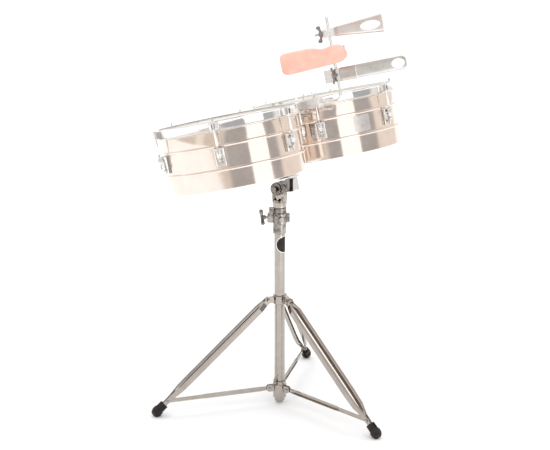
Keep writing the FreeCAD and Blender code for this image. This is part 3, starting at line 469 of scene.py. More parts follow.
        def curved(y):
            return math.sqrt(R * R - y * y)
        n = 10
        ys = [-0.0125 + 0.025 * i / n for i in range(n + 1)]
        for i in range(n):
            y0, y1 = ys[i], ys[i + 1]
            add_poly(brs, [(curved(y0) + 0.00005, y0), (R + 0.0032, y0), (R + 0.0032, y1), (curved(y1) + 0.00005, y1)], zt2 - zb, L @ Matrix.Translation((0, 0, zb)))
        side = [(R - 0.0004, zb), (R + 0.0044, zb), (R + 0.0054, zb + 0.0012), (R + 0.0066, zb + 0.015), (R + 0.0074, zb + 0.029), (R + 0.0092, zb + 0.0375), (R + 0.0110, zt2 - 0.0014), (R + 0.0110, zt2), (R - 0.0004, zt2)]
        for y in (-0.0125, 0.0103):
            mm = L @ Matrix(((1, 0, 0, 0), (0, 0, 1, y), (0, 1, 0, 0), (0, 0, 0, 1)))
            add_poly(brs, side, 0.0022, mm)
        tab = [(R + 0.003, -0.0125), (R + 0.011, -0.0125), (R + 0.0178, -0.0086), (R + 0.0224, -0.0052), (R + 0.0224, 0.0052), (R + 0.0178, 0.0086), (R + 0.011, 0.0125), (R + 0.003, 0.0125)]
        add_poly(brs, tab, 0.003, L @ Matrix.Translation((0, 0, zt2 - 0.003)))
        for zz, big in ((z0 + 0.066, True), (z0 + 0.091, False)):
            mo = L @ Matrix.Translation((R + 0.0032, 0, zz)) @ Matrix.Rotation(RAD(90), 4, "Y")
            if big:
                add_lathe(bbs, [(0.0024, 0), (0.0060, 0), (0.0062, 0.0003), (0.0060, 0.0009), (0.0024, 0.0009)], 32, mo)
                add_hex(bbs, 0.0082, 0.0034, mo @ Matrix.Translation((0, 0, 0.0008)))
            else:
                add_solid(bbs, [(0, 0), (0.0045, 0), (0.0045, 0.0007), (0.0039, 0.0014), (0.0024, 0.0019), (0, 0.0021)], 28, mo)
            mi = L @ Matrix.Translation((R - t - 0.0001, 0, zz)) @ Matrix.Rotation(RAD(-90), 4, "Y")
            add_solid(bbs, [(0, -0.013), (0.0025, -0.013), (0.0025, 0.0062), (0.0019, 0.0068), (0, 0.0068)], 20, mi)
            add_lathe(bbs, [(0.0026, 0), (0.0054, 0), (0.0055, 0.0002), (0.0055, 0.0009), (0.0052, 0.0010), (0.0026, 0.0010)], 32, mi)
            add_hex(bbs, 0.008, 0.0040, mi @ Matrix.Translation((0, 0, 0.0010)))
    to_obj(nm + "_claws_v", claws, MAT_D, "chrome", "drums", [nm + "_claws"], bevel=(0.0006, 2), smooth=38)
    to_obj(nm + "_rods_v", rods, MAT_D, "chrome", "drums", [nm + "_rods"], smooth=38)
    to_obj(nm + "_nuts_v", nuts, MAT_D, "chrome", "drums", [nm + "_nuts"], smooth=38)
    to_obj(nm + "_brackets_v", brs, MAT_D, "chrome", "drums", [nm + "_brackets"], bevel=(0.0005, 2), smooth=38)
    to_obj(nm + "_bracket_bolts_v", bbs, MAT_D, "steel", "drums", [nm + "_bracket_bolts"], smooth=38)


drum_visual(SMALL)
drum_visual(LARGE)


def wrapped(name, R, m, a_c, z_c, w, h, thick, shape, mats, body, n=28, rim=None, off=0.0):
    """Thin plate wrapped on a cylinder of radius R about the local Z axis."""
    bm = bmesh.new()

    def outline(k, s):
        pts = []
        for i in range(k):
            a = 2 * math.pi * i / k
            if shape == "oval":
                pts.append((0.5 * w * s * math.cos(a), 0.5 * h * s * math.sin(a)))
            else:
                c, q = math.cos(a), math.sin(a)
                e = 0.16
                pts.append((0.5 * w * (s if s < 1 else 1) * math.copysign(abs(c) ** e, c), 0.5 * h * (s if s < 1 else 1) * math.copysign(abs(q) ** e, q)))
        return pts

    def put(p, r):
        a = a_c + p[0] / R
        return bm.verts.new(m @ Vector((r * math.cos(a), r * math.sin(a), z_c + p[1])))
    k = 64
    levels = [1.0, 0.93, 0.86, 0.7, 0.5, 0.3, 0.12]
    r_in = R + off
    top = []
    for s in levels:
        hh = thick if (rim is None or s < 0.95) else thick
        top.append([put(p, r_in + hh) for p in outline(k, s)])
    bot = [[put(p, r_in) for p in outline(k, s)] for s in levels]
    for rows, flip in ((top, False), (bot, True)):
        for j in range(len(levels) - 1):
            for i in range(k):
                v = [rows[j][i], rows[j][(i + 1) % k], rows[j + 1][(i + 1) % k], rows[j + 1][i]]
                f = bm.faces.new(list(reversed(v)) if flip else v)
                if rim and not flip:
                    f.material_index = 1 if levels[j + 1] < rim else 0
        f = bm.faces.new(list(reversed(rows[-1])) if flip else rows[-1])
        if rim and not flip:
            f.material_index = 1
    for i in range(k):
        bm.faces.new([top[0][(i + 1) % k], top[0][i], bot[0][i], bot[0][(i + 1) % k]])
    return to_obj(name, bm, I4, mats, body, smooth=40)


# plain plate on the large shell and a plain round badge on the column
wrapped("shell_plate_v", 0.1905, MAT_D @ Matrix.Translation((LARGE["x"], DRUM_Y, 0)), RAD(-116.0), RIM + 0.077, 0.046, 0.044, 0.0006, "rect", "plate", "drums", off=0.00005)
wrapped("column_badge_v", 0.0143, I4, RAD(-88.0), 0.4605, 0.047, 0.047, 0.0007, "oval", ["chrome", "badge_dark"], "base", rim=0.90, off=0.00003)


# ------------------------------------------------------------------ wing nuts and screws
def wing_bm(bm, hub_r, hub_h, span, height, t, m, bore=0.0, mat=0, broad=1.0):
    """Cast wing head on z 0, wings along X, rounded lobes."""
    prof = [(bore, 0.0), (hub_r * 1.02, 0.0), (hub_r * 1.05, hub_h * 0.06), (hub_r, hub_h * 0.3), (hub_r * 0.92, hub_h * 0.75), (hub_r * 0.74, hub_h * 0.97), (bore if bore else hub_r * 0.4, hub_h)]
    if bore:
        add_lathe(bm, prof, 40, m, mat=mat)
    else:
        add_solid(bm, [(0, 0)] + prof[1:-1] + [(hub_r * 0.4, hub_h), (0, hub_h)], 40, m, mat=mat)
    for s in (1, -1):
        # centre line of the wing from the hub out to a rounded lobe
        path = [(0.55 * hub_r, hub_h * 0.40, hub_h * 0.32, t * 1.25), (1.0 * hub_r, hub_h * 0.46, hub_h * 0.33, t * 1.1), (span * 0.27, hub_h * 0.62, hub_h * 0.30, t * 0.9),
                (span * 0.36, height * 0.60, height * 0.22 * broad, t), (span * 0.435, height * 0.77, height * 0.22 * broad, t * 1.1), (span * 0.485, height * (0.90 if broad == 1.0 else 0.80), height * 0.085 * broad * broad, t * 0.7)]
        rings = []
        k = 16
        for j, (x, z, hw, tt) in enumerate(path):
            x0, z0_ = path[max(j - 1, 0)][:2]
            x1, z1_ = path[min(j + 1, len(path) - 1)][:2]
            dx, dz = x1 - x0, z1_ - z0_
            L_ = math.hypot(dx, dz) or 1.0
            nx, nz = -dz / L_, dx / L_
            ring = []
            for i in range(k):
                a = 2 * math.pi * i / k
                u, v = hw * math.cos(a), 0.5 * tt * math.copysign(abs(math.sin(a)) ** 0.7, math.sin(a))
                ring.append(bm.verts.new(m @ Vector((s * (x + nx * u), v, z + nz * u))))
            rings.append(ring)
        for j in range(len(rings) - 1):
            for i in range(k):
                v = [rings[j][i], rings[j][(i + 1) % k], rings[j + 1][(i + 1) % k], rings[j + 1][i]]
                bm.faces.new(v if s > 0 else list(reversed(v))).material_index = mat
        bm.faces.new(rings[0] if s < 0 else list(reversed(rings[0]))).material_index = mat
        bm.faces.new(rings[-1] if s > 0 else list(reversed(rings[-1]))).material_index = mat


CHA_Z, MAMBO_Z, BLOCK_Z = 0.375, 0.267, 0.318
# cha bell nut: axis along -X of the post frame, wings up and down
mz = Matrix.Translation((-0.01515, 0, CHA_Z)) @ rot_to((-1, 0, 0))
bm = bmesh.new()
wing_bm(bm, 0.0062, 0.011, 0.043, 0.0135, 0.0052, mz, 0.00306, broad=1.75)
to_obj("cha_bell_wing_nut_v", bm, MAT_P, "dark", "cha_nut", ["cha_bell_wing_nut"], smooth=60)
md = Vector((math.cos(RAD(-114)), math.sin(RAD(-114)), 0))
mz = Matrix.Translation((0.01565 * md.x, 0.01565 * md.y, MAMBO_Z)) @ Matrix.Rotation(RAD(-114 + 180), 4, "Z") @ rot_to((-1, 0, 0))
bm = bmesh.new()
wing_bm(bm, 0.0062, 0.011, 0.043, 0.0155, 0.0046, mz, 0.00306, broad=1.3)
to_obj("mambo_bell_wing_nut_v", bm, MAT_P, "dark", "mambo_nut", ["mambo_bell_wing_nut"], smooth=60)


def thread(r, z0, z1, pitch=0.0009, depth=0.0004):
    out = [(0, z0), (r - depth, z0)]
    z = z0 + pitch * 0.5
    while z < z1 - pitch:
        out += [(r, z), (r - depth, z + pitch * 0.5)]
        z += pitch
    return out + [(r, z1)]


for nm_, body, y, zb, a in (("rod_clamp_wing_screw", "rod_screw_front", -0.160, 0.2221, 65), ("rod_clamp_rear_wing_screw", "rod_screw_rear", -0.124, 0.2201, 20)):
    bm = bmesh.new()
    mm = Matrix.Translation((POST[0], y, 0)) @ Matrix.Rotation(RAD(a), 4, "Z")
    wing_bm(bm, 0.0046, 0.008, 0.027, 0.017, 0.003, mm @ Matrix.Translation((0, 0, zb)))
    add_solid(bm, thread(0.0025, 0.210, zb + 0.001) + [(0, zb + 0.001)], 20, mm)
    to_obj(nm_ + "_v", bm, MAT_D, "chrome", body, [nm_], smooth=50)
bm = bmesh.new()
mm = Matrix.Translation((0.022, 0.0133, 0.325)) @ Matrix.Rotation(RAD(90.0 - 21.0), 4, "Y") @ rot_to((0, 1, 0))
wing_bm(bm, 0.0056, 0.009, 0.040, 0.0145, 0.004, mm, 0.00306)
to_obj("jam_block_wing_nut_v", bm, MAT_P, "steel", "block_nut", ["jam_block_wing_nut"], smooth=60)
bm = bmesh.new()
add_solid(bm, thread(0.003, 0.0, 0.0574) + [(0.0024, 0.058), (0, 0.058)], 24, Matrix.Translation((0.022, -0.036, 0.325)) @ rot_to((0, 1, 0)))
to_obj("jam_block_stud_v", bm, MAT_P, "steel", "jam_block", ["jam_block_stud"], smooth=40)
bm = bmesh.new()
mm = Matrix.Rotation(RAD(183.0), 4, "Z") @ Matrix.Translation((0.013, 0, 0.0574)) @ rot_to((0.8, 0, 0.6))
wing_bm(bm, 0.0044, 0.0065, 0.029, 0.015, 0.003, mm @ Matrix.Translation((0, 0, 0.0098)))
add_solid(bm, thread(0.0025, 0.0046, 0.0102) + [(0, 0.0102)], 20, mm)
to_obj("hub_wing_screw_v", bm, I4, "chrome_stand", "hub_screw", ["hub_wing_screw"], smooth=50)


# ------------------------------------------------------------------ bells
def rsec(hy, hz, zc, r, k=6, dents=None):
    pts = []
    corners = ((hy - r, hz - r, 0), (-hy + r, hz - r, 90), (-hy + r, -hz + r, 180), (hy - r, -hz + r, 270))
    for ci, (cy, cz, a0) in enumerate(corners):
        for j in range(k + 1):
            a = RAD(a0 + 90.0 * j / k)
            pts.append((cy + r * math.cos(a), zc + cz + r * math.sin(a)))
        ncy, ncz, na = corners[(ci + 1) % 4]
        p0 = pts[-1]
        a = RAD(na)
        p1 = (ncy + r * math.cos(a), zc + ncz + r * math.sin(a))
        for j in range(1, 6):
            f = j / 6.0
            pts.append((p0[0] + (p1[0] - p0[0]) * f, p0[1] + (p1[1] - p0[1]) * f))
    return pts


def bell_bm(bm, x0, x1, s0, s1, t, closed, end_mat_to=None, bow=0.0, lip=0.0, recede=0.0):
    """Open-mouthed bell along +X; s = (hy, hz, zc, r). Outer and inner skins share the rim."""
    n = 26
    outer, inner = [], []

    def pull(x, z, g, q):
        u = min(1.0, abs(z - q[2]) / q[1])
        return x - recede * u ** 4 * max(0.0, (g - 0.7) / 0.3)

    for i in range(n + 1):
        f = i / n
        q = [s0[k] + (s1[k] - s0[k]) * f for k in range(4)]
        grow = lip * max(0.0, (f - 0.93) / 0.07) ** 2
        sec = rsec(q[0] + bow * math.sin(math.pi * f) + grow, q[1] + grow, q[2], q[3])
        outer.append([bm.verts.new((pull(x0 + (x1 - x0) * f, z, f, q), y, z)) for y, z in sec])
    for i in range(n + 1):
        f = i / n
        xi = x0 + closed + (x1 - x0 - closed) * f
        g = (xi - x0) / (x1 - x0)
        q = [s0[k] + (s1[k] - s0[k]) * g for k in range(4)]
        grow = lip * max(0.0, (g - 0.93) / 0.07) ** 2
        sec = rsec(q[0] + bow * math.sin(math.pi * g) - t + grow, q[1] - t + grow, q[2], max(q[3] - t, 0.0012))
        inner.append([bm.verts.new((pull(xi, z, g, q), y, z)) for y, z in sec])
    k = len(outer[0])
    for rows, flip in ((outer, False), (inner, True)):
        for i in range(n):
            for j in range(k):
                v = [rows[i][j], rows[i][(j + 1) % k], rows[i + 1][(j + 1) % k], rows[i + 1][j]]
                f = bm.faces.new(v if not flip else list(reversed(v)))
                # faces near the closed end take material 1, the painted shade
                if end_mat_to is not None and not flip and rows[i + 1][j].co.x <= end_mat_to:
                    f.material_index = 1
    bm.faces.new(list(reversed(outer[0])))
    bm.faces.new(inner[0])
    for j in range(k):
        bm.faces.new([outer[-1][j], outer[-1][(j + 1) % k], inner[-1][(j + 1) % k], inner[-1][j]])


def weld(bm, pts, r, mat=0, seed=1):
    """Uneven weld bead along a polyline."""
    rnd = random.Random(seed)
    k = 8
    rings = []
    dense = []
    for a, b in zip(pts[:-1], pts[1:]):
        m_ = max(2, int((Vector(b) - Vector(a)).length / 0.0022))
        for i in range(m_):
            dense.append(Vector(a).lerp(Vector(b), i / m_))
    dense.append(Vector(pts[-1]))
    for i, p in enumerate(dense):
        d = (dense[min(i + 1, len(dense) - 1)] - dense[max(i - 1, 0)]).normalized()
        u = d.orthogonal().normalized()
        v = d.cross(u)
        rr = r * (0.78 + 0.35 * rnd.random()) * (0.5 if i in (0, len(dense) - 1) else 1.0)
        rings.append([bm.verts.new(p + (u * math.cos(2 * math.pi * j / k) + v * math.sin(2 * math.pi * j / k)) * rr) for j in range(k)])
    for i in range(len(rings) - 1):
        for j in range(k):
            bm.faces.new([rings[i][j], rings[i][(j + 1) % k], rings[i + 1][(j + 1) % k], rings[i + 1][j]]).material_index = mat
    bm.faces.new(list(reversed(rings[0]))).material_index = mat
    bm.faces.new(rings[-1]).material_index = mat


# small bell
bm = bmesh.new()
bell_bm(bm, 0.018, 0.136, (0.021, 0.0116, CHA_Z, 0.0042), (0.038, 0.0225, CHA_Z - 0.001, 0.007), 0.002, 0.0022, end_mat_to=0.026, lip=0.0004)
# end welds and end plate use material 1, the painted shade
weld(bm, [(0.0190, -0.0185, CHA_Z + 0.0105), (0.0190, 0.0185, CHA_Z + 0.0105)], 0.0013, 1, 5)
weld(bm, [(0.0190, -0.0185, CHA_Z - 0.0105), (0.0190, 0.0185, CHA_Z - 0.0105)], 0.0013, 1, 6)
add_box(bm, 0.0155, 0.0188, -0.0195, 0.0195, CHA_Z - 0.0108, CHA_Z + 0.0108, mat=1)
for y0, y1 in ((-0.0135, -0.0105), (0.0105, 0.0135)):
    add_box(bm, -0.0145, 0.0165, y0, y1, CHA_Z - 0.0105, CHA_Z + 0.0105, mat=2)
cpts = [(-0.0135, -0.0105), (0.0135, -0.0105), (0.0135, 0.0105), (-0.0135, 0.0105)]
k = 24
mplate = Matrix.Translation((-0.015, 0, CHA_Z)) @ rot_to((1, 0, 0))


def plate_hole(bm, hw, hh, r, t, m, mat):
    """Rectangular plate with a round hole, z 0 to t."""
    n = 32
    def sq(a):
        c, s = math.cos(a), math.sin(a)
        q = min(hw / max(abs(c), 1e-9), hh / max(abs(s), 1e-9))
        return (q * c, q * s)
    rows = []
    for z in (0.0, t):
        rows.append([bm.verts.new(m @ Vector((*sq(2 * math.pi * (i + 0.5) / n), z))) for i in range(n)])
        rows.append([bm.verts.new(m @ Vector((r * math.cos(2 * math.pi * (i + 0.5) / n), r * math.sin(2 * math.pi * (i + 0.5) / n), z))) for i in range(n)])
    o0, i0, o1, i1 = rows
    for i in range(n):
        j = (i + 1) % n
        for v in ([o0[j], o0[i], i0[i], i0[j]], [o1[i], o1[j], i1[j], i1[i]], [o0[i], o0[j], o1[j], o1[i]], [i0[j], i0[i], i1[i], i1[j]]):
            bm.faces.new(v).material_index = mat


plate_hole(bm, 0.0105, 0.0135, 0.0033, 0.003, mplate, 2)
to_obj("cha_bell_v", bm, MAT_P, ["bell_high", "bell_end_shade", "chrome_soft"], "cha_bell", ["cha_bell"], smooth=34, bevel=(0.0003, 2))

# wide bell
bm = bmesh.new()
bell_bm(bm, 0.0092, 0.176, (0.027, 0.017, MAMBO_Z, 0.006), (0.047, 0.0176, MAMBO_Z, 0.009), 0.0022, 0.0024, end_mat_to=0.050, lip=0.0003, recede=0.009)
ring = [(0.0485, y, z) for y, z in rsec(0.0318, 0.0173, MAMBO_Z, 0.007, 3)]
ring.append(ring[0])
weld(bm, ring, 0.0012, 3, 8)
# end welds and end plate use material 1, the painted shade
weld(bm, [(0.0092, -0.023, MAMBO_Z + 0.0155), (0.0092, 0.023, MAMBO_Z + 0.0155)], 0.0013, 1, 11)
weld(bm, [(0.0092, -0.023, MAMBO_Z - 0.0155), (0.0092, 0.023, MAMBO_Z - 0.0155)], 0.0013, 1, 12)
add_box(bm, 0.0088, 0.0116, -0.024, 0.024, MAMBO_Z - 0.0155, MAMBO_Z + 0.0155, mat=1)
rz = Matrix.Rotation(RAD(-24), 4, "Z")
mplate = rz @ Matrix.Translation((-0.0025, -0.014, MAMBO_Z)) @ Matrix.Rotation(RAD(90), 4, "X") @ Matrix.Translation((0, 0, -0.0015))
# plate through the eyebolt, its folded edge and the link back to the bell
n = 32
plate_bm = bm


def side_plate():
    hw0, hw1, hh, t, r = -0.024, 0.019, 0.016, 0.003, 0.0033
    m = rz @ Matrix(((1, 0, 0, 0), (0, 0, -1, -0.0125), (0, 1, 0, MAMBO_Z), (0, 0, 0, 1)))
    k = 32
    def sq(a):
        c, s = math.cos(a), math.sin(a)
        w = hw1 if c > 0 else -hw0
        q = min(w / max(abs(c), 1e-9), hh / max(abs(s), 1e-9))
        return (q * c, q * s)
    o0 = [plate_bm.verts.new(m @ Vector((*sq(2 * math.pi * (i + 0.5) / k), 0))) for i in range(k)]
    i0 = [plate_bm.verts.new(m @ Vector((r * math.cos(2 * math.pi * (i + 0.5) / k), r * math.sin(2 * math.pi * (i + 0.5) / k), 0))) for i in range(k)]
    o1 = [plate_bm.verts.new(m @ Vector((*sq(2 * math.pi * (i + 0.5) / k), t))) for i in range(k)]
    i1 = [plate_bm.verts.new(m @ Vector((r * math.cos(2 * math.pi * (i + 0.5) / k), r * math.sin(2 * math.pi * (i + 0.5) / k), t))) for i in range(k)]
    for i in range(k):
        j = (i + 1) % k
        for v in ([o0[j], o0[i], i0[i], i0[j]], [o1[i], o1[j], i1[j], i1[i]], [o0[i], o0[j], o1[j], o1[i]], [i0[j], i0[i], i1[i], i1[j]]):
            plate_bm.faces.new(v).material_index = 2


side_plate()
add_box(bm, -0.027, -0.024, -0.0155, -0.005, MAMBO_Z - 0.016, MAMBO_Z + 0.016, rz, mat=2)
px_ = 0.019 * math.cos(RAD(-24)) + 0.014 * math.sin(RAD(-24))
py_ = -0.019 * math.sin(RAD(24)) - 0.014 * math.cos(RAD(24))
add_box(bm, min(px_ - 0.003, 0.007), max(0.012, px_ + 0.0015), py_ - 0.0012, py_ + 0.0018, MAMBO_Z - 0.015, MAMBO_Z + 0.015, mat=2)
to_obj("mambo_bell_v", bm, MAT_P, ["bell_low", "bell_end_shade", "steel", "chrome"], "mambo_bell", ["mambo_bell"], smooth=34, bevel=(0.0003, 2))


def oval_on_side(name, xc, zc, w, h, hy_at, slope, body):
    """Plain oval sticker on the side wall facing -Y of the post frame."""
    bm = bmesh.new()
    k = 56
    rows = []
    for s, off in ((1.0, 0.0002), (0.98, 0.00045), (0.86, 0.0005), (0.6, 0.0005), (0.3, 0.0005)):
        rows.append([bm.verts.new((xc + 0.5 * w * s * math.cos(2 * math.pi * i / k), -(hy_at + slope * 0.5 * w * s * math.cos(2 * math.pi * i / k)) - off, zc + 0.5 * h * s * math.sin(2 * math.pi * i / k))) for i in range(k)])
    back = [bm.verts.new((xc + 0.5 * w * math.cos(2 * math.pi * i / k), -(hy_at + slope * 0.5 * w * math.cos(2 * math.pi * i / k)) - 0.00002, zc + 0.5 * h * math.sin(2 * math.pi * i / k))) for i in range(k)]
    for j in range(len(rows) - 1):
        for i in range(k):
            bm.faces.new([rows[j][i], rows[j][(i + 1) % k], rows[j + 1][(i + 1) % k], rows[j + 1][i]])
    bm.faces.new(rows[-1])
    for i in range(k):
        bm.faces.new([back[i], back[(i + 1) % k], rows[0][(i + 1) % k], rows[0][i]])
    bm.faces.new(list(reversed(back)))
    to_obj(name, bm, MAT_P, "label", body, smooth=40)


oval_on_side("cha_label_v", 0.104, 0.3735, 0.050, 0.0225, 0.021 + 0.017 * (0.104 - 0.018) / 0.118, 0.017 / 0.118, "cha_bell")
oval_on_side("mambo_label_v", 0.1545, 0.268, 0.033, 0.0235, 0.027 + 0.020 * (0.1545 - 0.0092) / 0.1668, 0.020 / 0.1668, "mambo_bell")

# ------------------------------------------------------------------ plastic block
TOPC = [(-0.134, 0.318), (-0.1335, 0.333), (-0.131, 0.341), (-0.124, 0.3445), (-0.110, 0.3455), (-0.090, 0.346), (-0.070, 0.346), (-0.055, 0.3455), (-0.044, 0.3440), (-0.036, 0.3405), (-0.028, 0.338), (-0.018, 0.3390),
        (-0.008, 0.3412), (0.004, 0.3430), (0.014, 0.3425), (0.022, 0.3395), (0.029, 0.3325), (0.033, 0.325), (0.0345, 0.316)]
BOTC = [(-0.134, 0.318), (-0.1335, 0.303), (-0.131, 0.295), (-0.124, 0.2912), (-0.110, 0.2905), (-0.090, 0.2915), (-0.070, 0.2927), (-0.055, 0.2935), (-0.044, 0.2940), (-0.036, 0.2945), (-0.028, 0.2948), (-0.018, 0.2952),
        (-0.008, 0.2958), (0.004, 0.2968), (0.014, 0.2980), (0.022, 0.3002), (0.029, 0.3045), (0.033, 0.3085), (0.0345, 0.316)]


def block_bm(bm):
    xs = [p[0] for p in TOPC]
    yc, N = -0.034, 48
    i_lo, i_hi = -4, 4                       # outline points that sit on the lips of the slot, facing +Y
    stations = []
    for i, x in enumerate(xs):
        zt, zb = TOPC[i][1], BOTC[i][1]
        end = min((x + 0.134) / 0.012, 1.0) if x < 0 else 1.0
        end2 = min((0.0345 - x) / 0.012, 1.0)
        e = math.sqrt(max(1 - (1 - min(end, end2)) ** 2, 0.0))
        hy = 0.026 * (0.55 + 0.45 * e)
        neck = math.exp(-((x + 0.030) / 0.018) ** 2) * 0.0022
        hy -= neck
        zc, hz = 0.5 * (zt + zb), max(0.5 * (zt - zb), 0.0004)
        ring = []
        for j in range(N):
            a = 2 * math.pi * j / N
            c, s = math.cos(a), math.sin(a)
            p = 0.42
            yy = yc + hy * math.copysign(abs(c) ** p, c)
            zz = zc + hz * math.copysign(abs(s) ** p, s)
            # shallow dishing of the broad front
            if c < -0.2:
                yy += 0.0016 * math.exp(-((x + 0.015) / 0.035) ** 2) * (1 - abs(s))
            ring.append((x, yy, zz))
        stations.append(ring)
    # slot between stations k0 and k1
    k0, k1 = 4, 10
    vr = [[bm.verts.new(p) for p in ring] for ring in stations]
    lip = [j % N for j in range(i_lo, i_hi + 1)]
    z_lo, z_hi = 0.308, 0.322
    for k in range(k0, k1 + 1):
        for j in lip:
            pass
    cav = {}
    for k in range(k0, k1 + 1):
        x = xs[k]
        a, b = vr[k][lip[0]].co, vr[k][lip[-1]].co
        path = [(x, -0.0125, b.z), (x, -0.0140, 0.333), (x, -0.022, 0.3345), (x, -0.040, 0.3335), (x, -0.048, 0.328), (x, -0.0495, 0.318), (x, -0.048, 0.306), (x, -0.040, 0.3022), (x, -0.022, 0.3015), (x, -0.0140, 0.303), (x, -0.0125, a.z)]
        cav[k] = [bm.verts.new(p) for p in path]
    for k in range(len(xs) - 1):
        inside = k0 <= k < k1
        for j in range(N):
            if inside and j in lip[:-1]:
                continue
            bm.faces.new([vr[k][j], vr[k][(j + 1) % N], vr[k + 1][(j + 1) % N], vr[k + 1][j]])
        if inside:
            chain0 = [vr[k][lip[-1]]] + cav[k] + [vr[k][lip[0]]]
            chain1 = [vr[k + 1][lip[-1]]] + cav[k + 1] + [vr[k + 1][lip[0]]]
            # slot walls and ends take material 1, the painted shade
            for j in range(len(chain0) - 1):
                bm.faces.new([chain0[j], chain0[j + 1], chain1[j + 1], chain1[j]]).material_index = 1
    for k, flip in ((k0, False), (k1, True)):
        loop = [vr[k][j] for j in lip] + cav[k]
        f = bm.faces.new(list(reversed(loop)) if flip else loop)
        f.material_index = 1


bm = bmesh.new()
block_bm(bm)
jb = to_obj("jam_block_v", bm, MAT_P, ["block", "block_slot_shade"], "jam_block", ["jam_block"], smooth=50)
bev = jb.modifiers.new("bevel", "BEVEL")
bev.width, bev.segments, bev.limit_method, bev.angle_limit = 0.0006, 2, "ANGLE", RAD(50)
# rounded edges on the carried-over metalwork
for name, w in (("upper_hub", 0.0007), ("lower_hub", 0.0007), ("clamp_collar", 0.0007), ("memory_lock", 0.0005), ("tilter_yoke", 0.0007), ("tilter_arm", 0.0009), ("mount_bracket", 0.0008), ("rod_clamp", 0.0007),
                ("jam_block_clamp", 0.0006), ("leg_left_bars", 0.0008), ("leg_right_bars", 0.0008), ("leg_rear_bars", 0.0008), ("strut_left", 0.0006), ("strut_right", 0.0006), ("strut_rear", 0.0006),
                ("tilt_ratchet", 0.0003), ("height_tee_screw", 0.0004), ("leg_left_foot", 0.0007), ("leg_right_foot", 0.0007), ("leg_rear_foot", 0.0007)):
    o = NODES[name]
    bv = o.modifiers.new("edge", "BEVEL")
    bv.width, bv.segments, bv.limit_method, bv.angle_limit = w, 2, "ANGLE", RAD(35)


# ------------------------------------------------------------------ floor, camera, lights
bm = bmesh.new()
add_box(bm, -30, 30, -30, 30, -0.05, 0.0)
m, nt, b = new_mat("floor_paper")
n1 = noise(nt, 3.0, 3.0, 0.5)
c1 = ramp(nt, n1.outputs["Fac"], [(0.3, (0.895, 0.915, 0.94)), (0.7, (0.91, 0.93, 0.955))])
nt.links.new(c1.outputs["Color"], b.inputs["Base Color"])
b.inputs["Roughness"].default_value = 0.75
M["floor"] = m
floor = to_obj("floor", bm, I4, "floor")

cam_data = bpy.data.cameras.new("camera")
cam = bpy.data.objects.new("camera", cam_data)
scene.collection.objects.link(cam)
cam.location = (-2.6764, -2.0384, 1.4408)
cam.rotation_euler = (RAD(90.0 - 15.435), 0, RAD(-52.70))
cam_data.sensor_width = 36.0
cam_data.lens = 84.98
cam_data.shift_x = -0.00818
cam_data.clip_end = 100
scene.camera = cam

world = bpy.data.worlds.new("studio")
scene.world = world
world.use_nodes = True
wt = world.node_tree
bg = next(n for n in wt.nodes if n.type == "BACKGROUND")
tc = wt.nodes.new("ShaderNodeTexCoord")
mp = wt.nodes.new("ShaderNodeMapping")
mp.inputs["Rotation"].default_value = (0, 0, RAD(142.7))     # camera side at angle 0
wt.links.new(tc.outputs["Generated"], mp.inputs["Vector"])
gr = wt.nodes.new("ShaderNodeTexGradient")
gr.gradient_type = "RADIAL"
wt.links.new(mp.outputs["Vector"], gr.inputs["Vector"])


def az(deg):
    return deg / 360.0 + 0.5


W, BE, DK, PK = (1.0, 1.0, 1.0), (0.74, 0.69, 0.63), (0.46, 0.45, 0.455), (0.90, 0.84, 0.79)
stops = [(az(-180), W), (az(-150), (0.95, 0.94, 0.92)), (az(-138), (0.95, 0.94, 0.92)), (az(-124), W), (az(-112), W),
         (az(-92), (0.9, 0.86, 0.8)), (az(-87), BE), (az(-60), BE), (az(-55), (0.95, 0.9, 0.84)), (az(-46), (0.95, 0.9, 0.84)), (az(-41), BE), (az(-12), BE), (az(-6), DK), (az(78), DK), (az(84), PK), (az(146), PK), (az(155), W), (az(180), W)]
cr = ramp(wt, gr.outputs["Fac"], stops)
bg.inputs["Strength"].default_value = 1.0
wt.links.new(cr.outputs["Color"], bg.inputs["Color"])


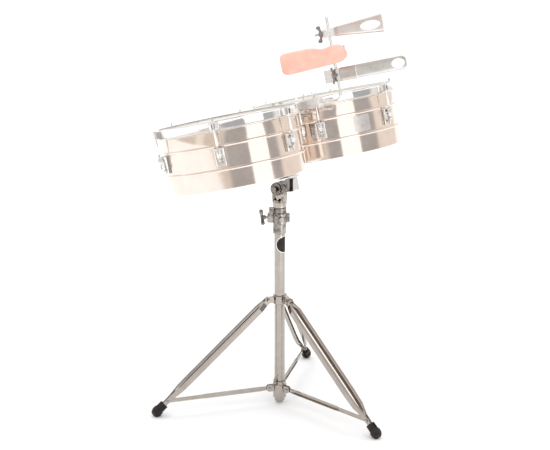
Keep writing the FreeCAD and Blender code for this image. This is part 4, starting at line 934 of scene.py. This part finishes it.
def area(name, loc, target, size, power, color=(1, 1, 1)):
    ld = bpy.data.lights.new(name, "AREA")
    ld.shape = "RECTANGLE"
    ld.size, ld.size_y = size
    ld.energy = power
    ld.color = color
    lo = bpy.data.objects.new(name, ld)
    scene.collection.objects.link(lo)
    lo.location = loc
    lo.rotation_euler = (Vector(target) - Vector(loc)).to_track_quat("-Z", "Y").to_euler()
    return lo


sd = bpy.data.lights.new("sky_soft", "SUN")
sd.energy = 1.9
sd.angle = RAD(110)
so = bpy.data.objects.new("sky_soft", sd)
scene.collection.objects.link(so)
so.rotation_euler = (RAD(10), RAD(-6), 0)
so.visible_glossy = False
# white strip that both shells mirror, standing beside the camera's view
strip = area("strip_white", (-0.415, -1.445, 1.0), (-0.415 + 0.531, -1.445 + 0.847, 1.0), (0.885, 2.0), 5.1, (1.0, 0.985, 0.965))


# plain pale backdrop
bb_ = bmesh.new()
NB = 96
lo_ring = [bb_.verts.new((24.0 * math.cos(2 * math.pi * i / NB), 24.0 * math.sin(2 * math.pi * i / NB), -0.02)) for i in range(NB)]
hi_ring = [bb_.verts.new((24.0 * math.cos(2 * math.pi * i / NB), 24.0 * math.sin(2 * math.pi * i / NB), 20.0)) for i in range(NB)]
for i in range(NB):
    bb_.faces.new([lo_ring[(i + 1) % NB], lo_ring[i], hi_ring[i], hi_ring[(i + 1) % NB]])
bm_, bnt, bb = new_mat("backdrop")
bnz = noise(bnt, 0.4, 2.0, 0.5)
bcr = ramp(bnt, bnz.outputs["Fac"], [(0.3, (0.985, 0.985, 0.985)), (0.7, (1.0, 1.0, 1.0))])
bb.inputs["Base Color"].default_value = (0.0, 0.0, 0.0, 1.0)
bb.inputs["Roughness"].default_value = 1.0
bnt.links.new(bcr.outputs["Color"], bb.inputs["Emission Color"])
bb.inputs["Emission Strength"].default_value = 1.0
me = bpy.data.meshes.new("backdrop")
bb_.to_mesh(me)
bb_.free()
back = bpy.data.objects.new("backdrop", me)
scene.collection.objects.link(back)
me.materials.append(bm_)
back.visible_diffuse = back.visible_glossy = back.visible_shadow = back.visible_transmission = False
scene.view_settings.view_transform = "Standard"
scene.view_settings.look = "None"
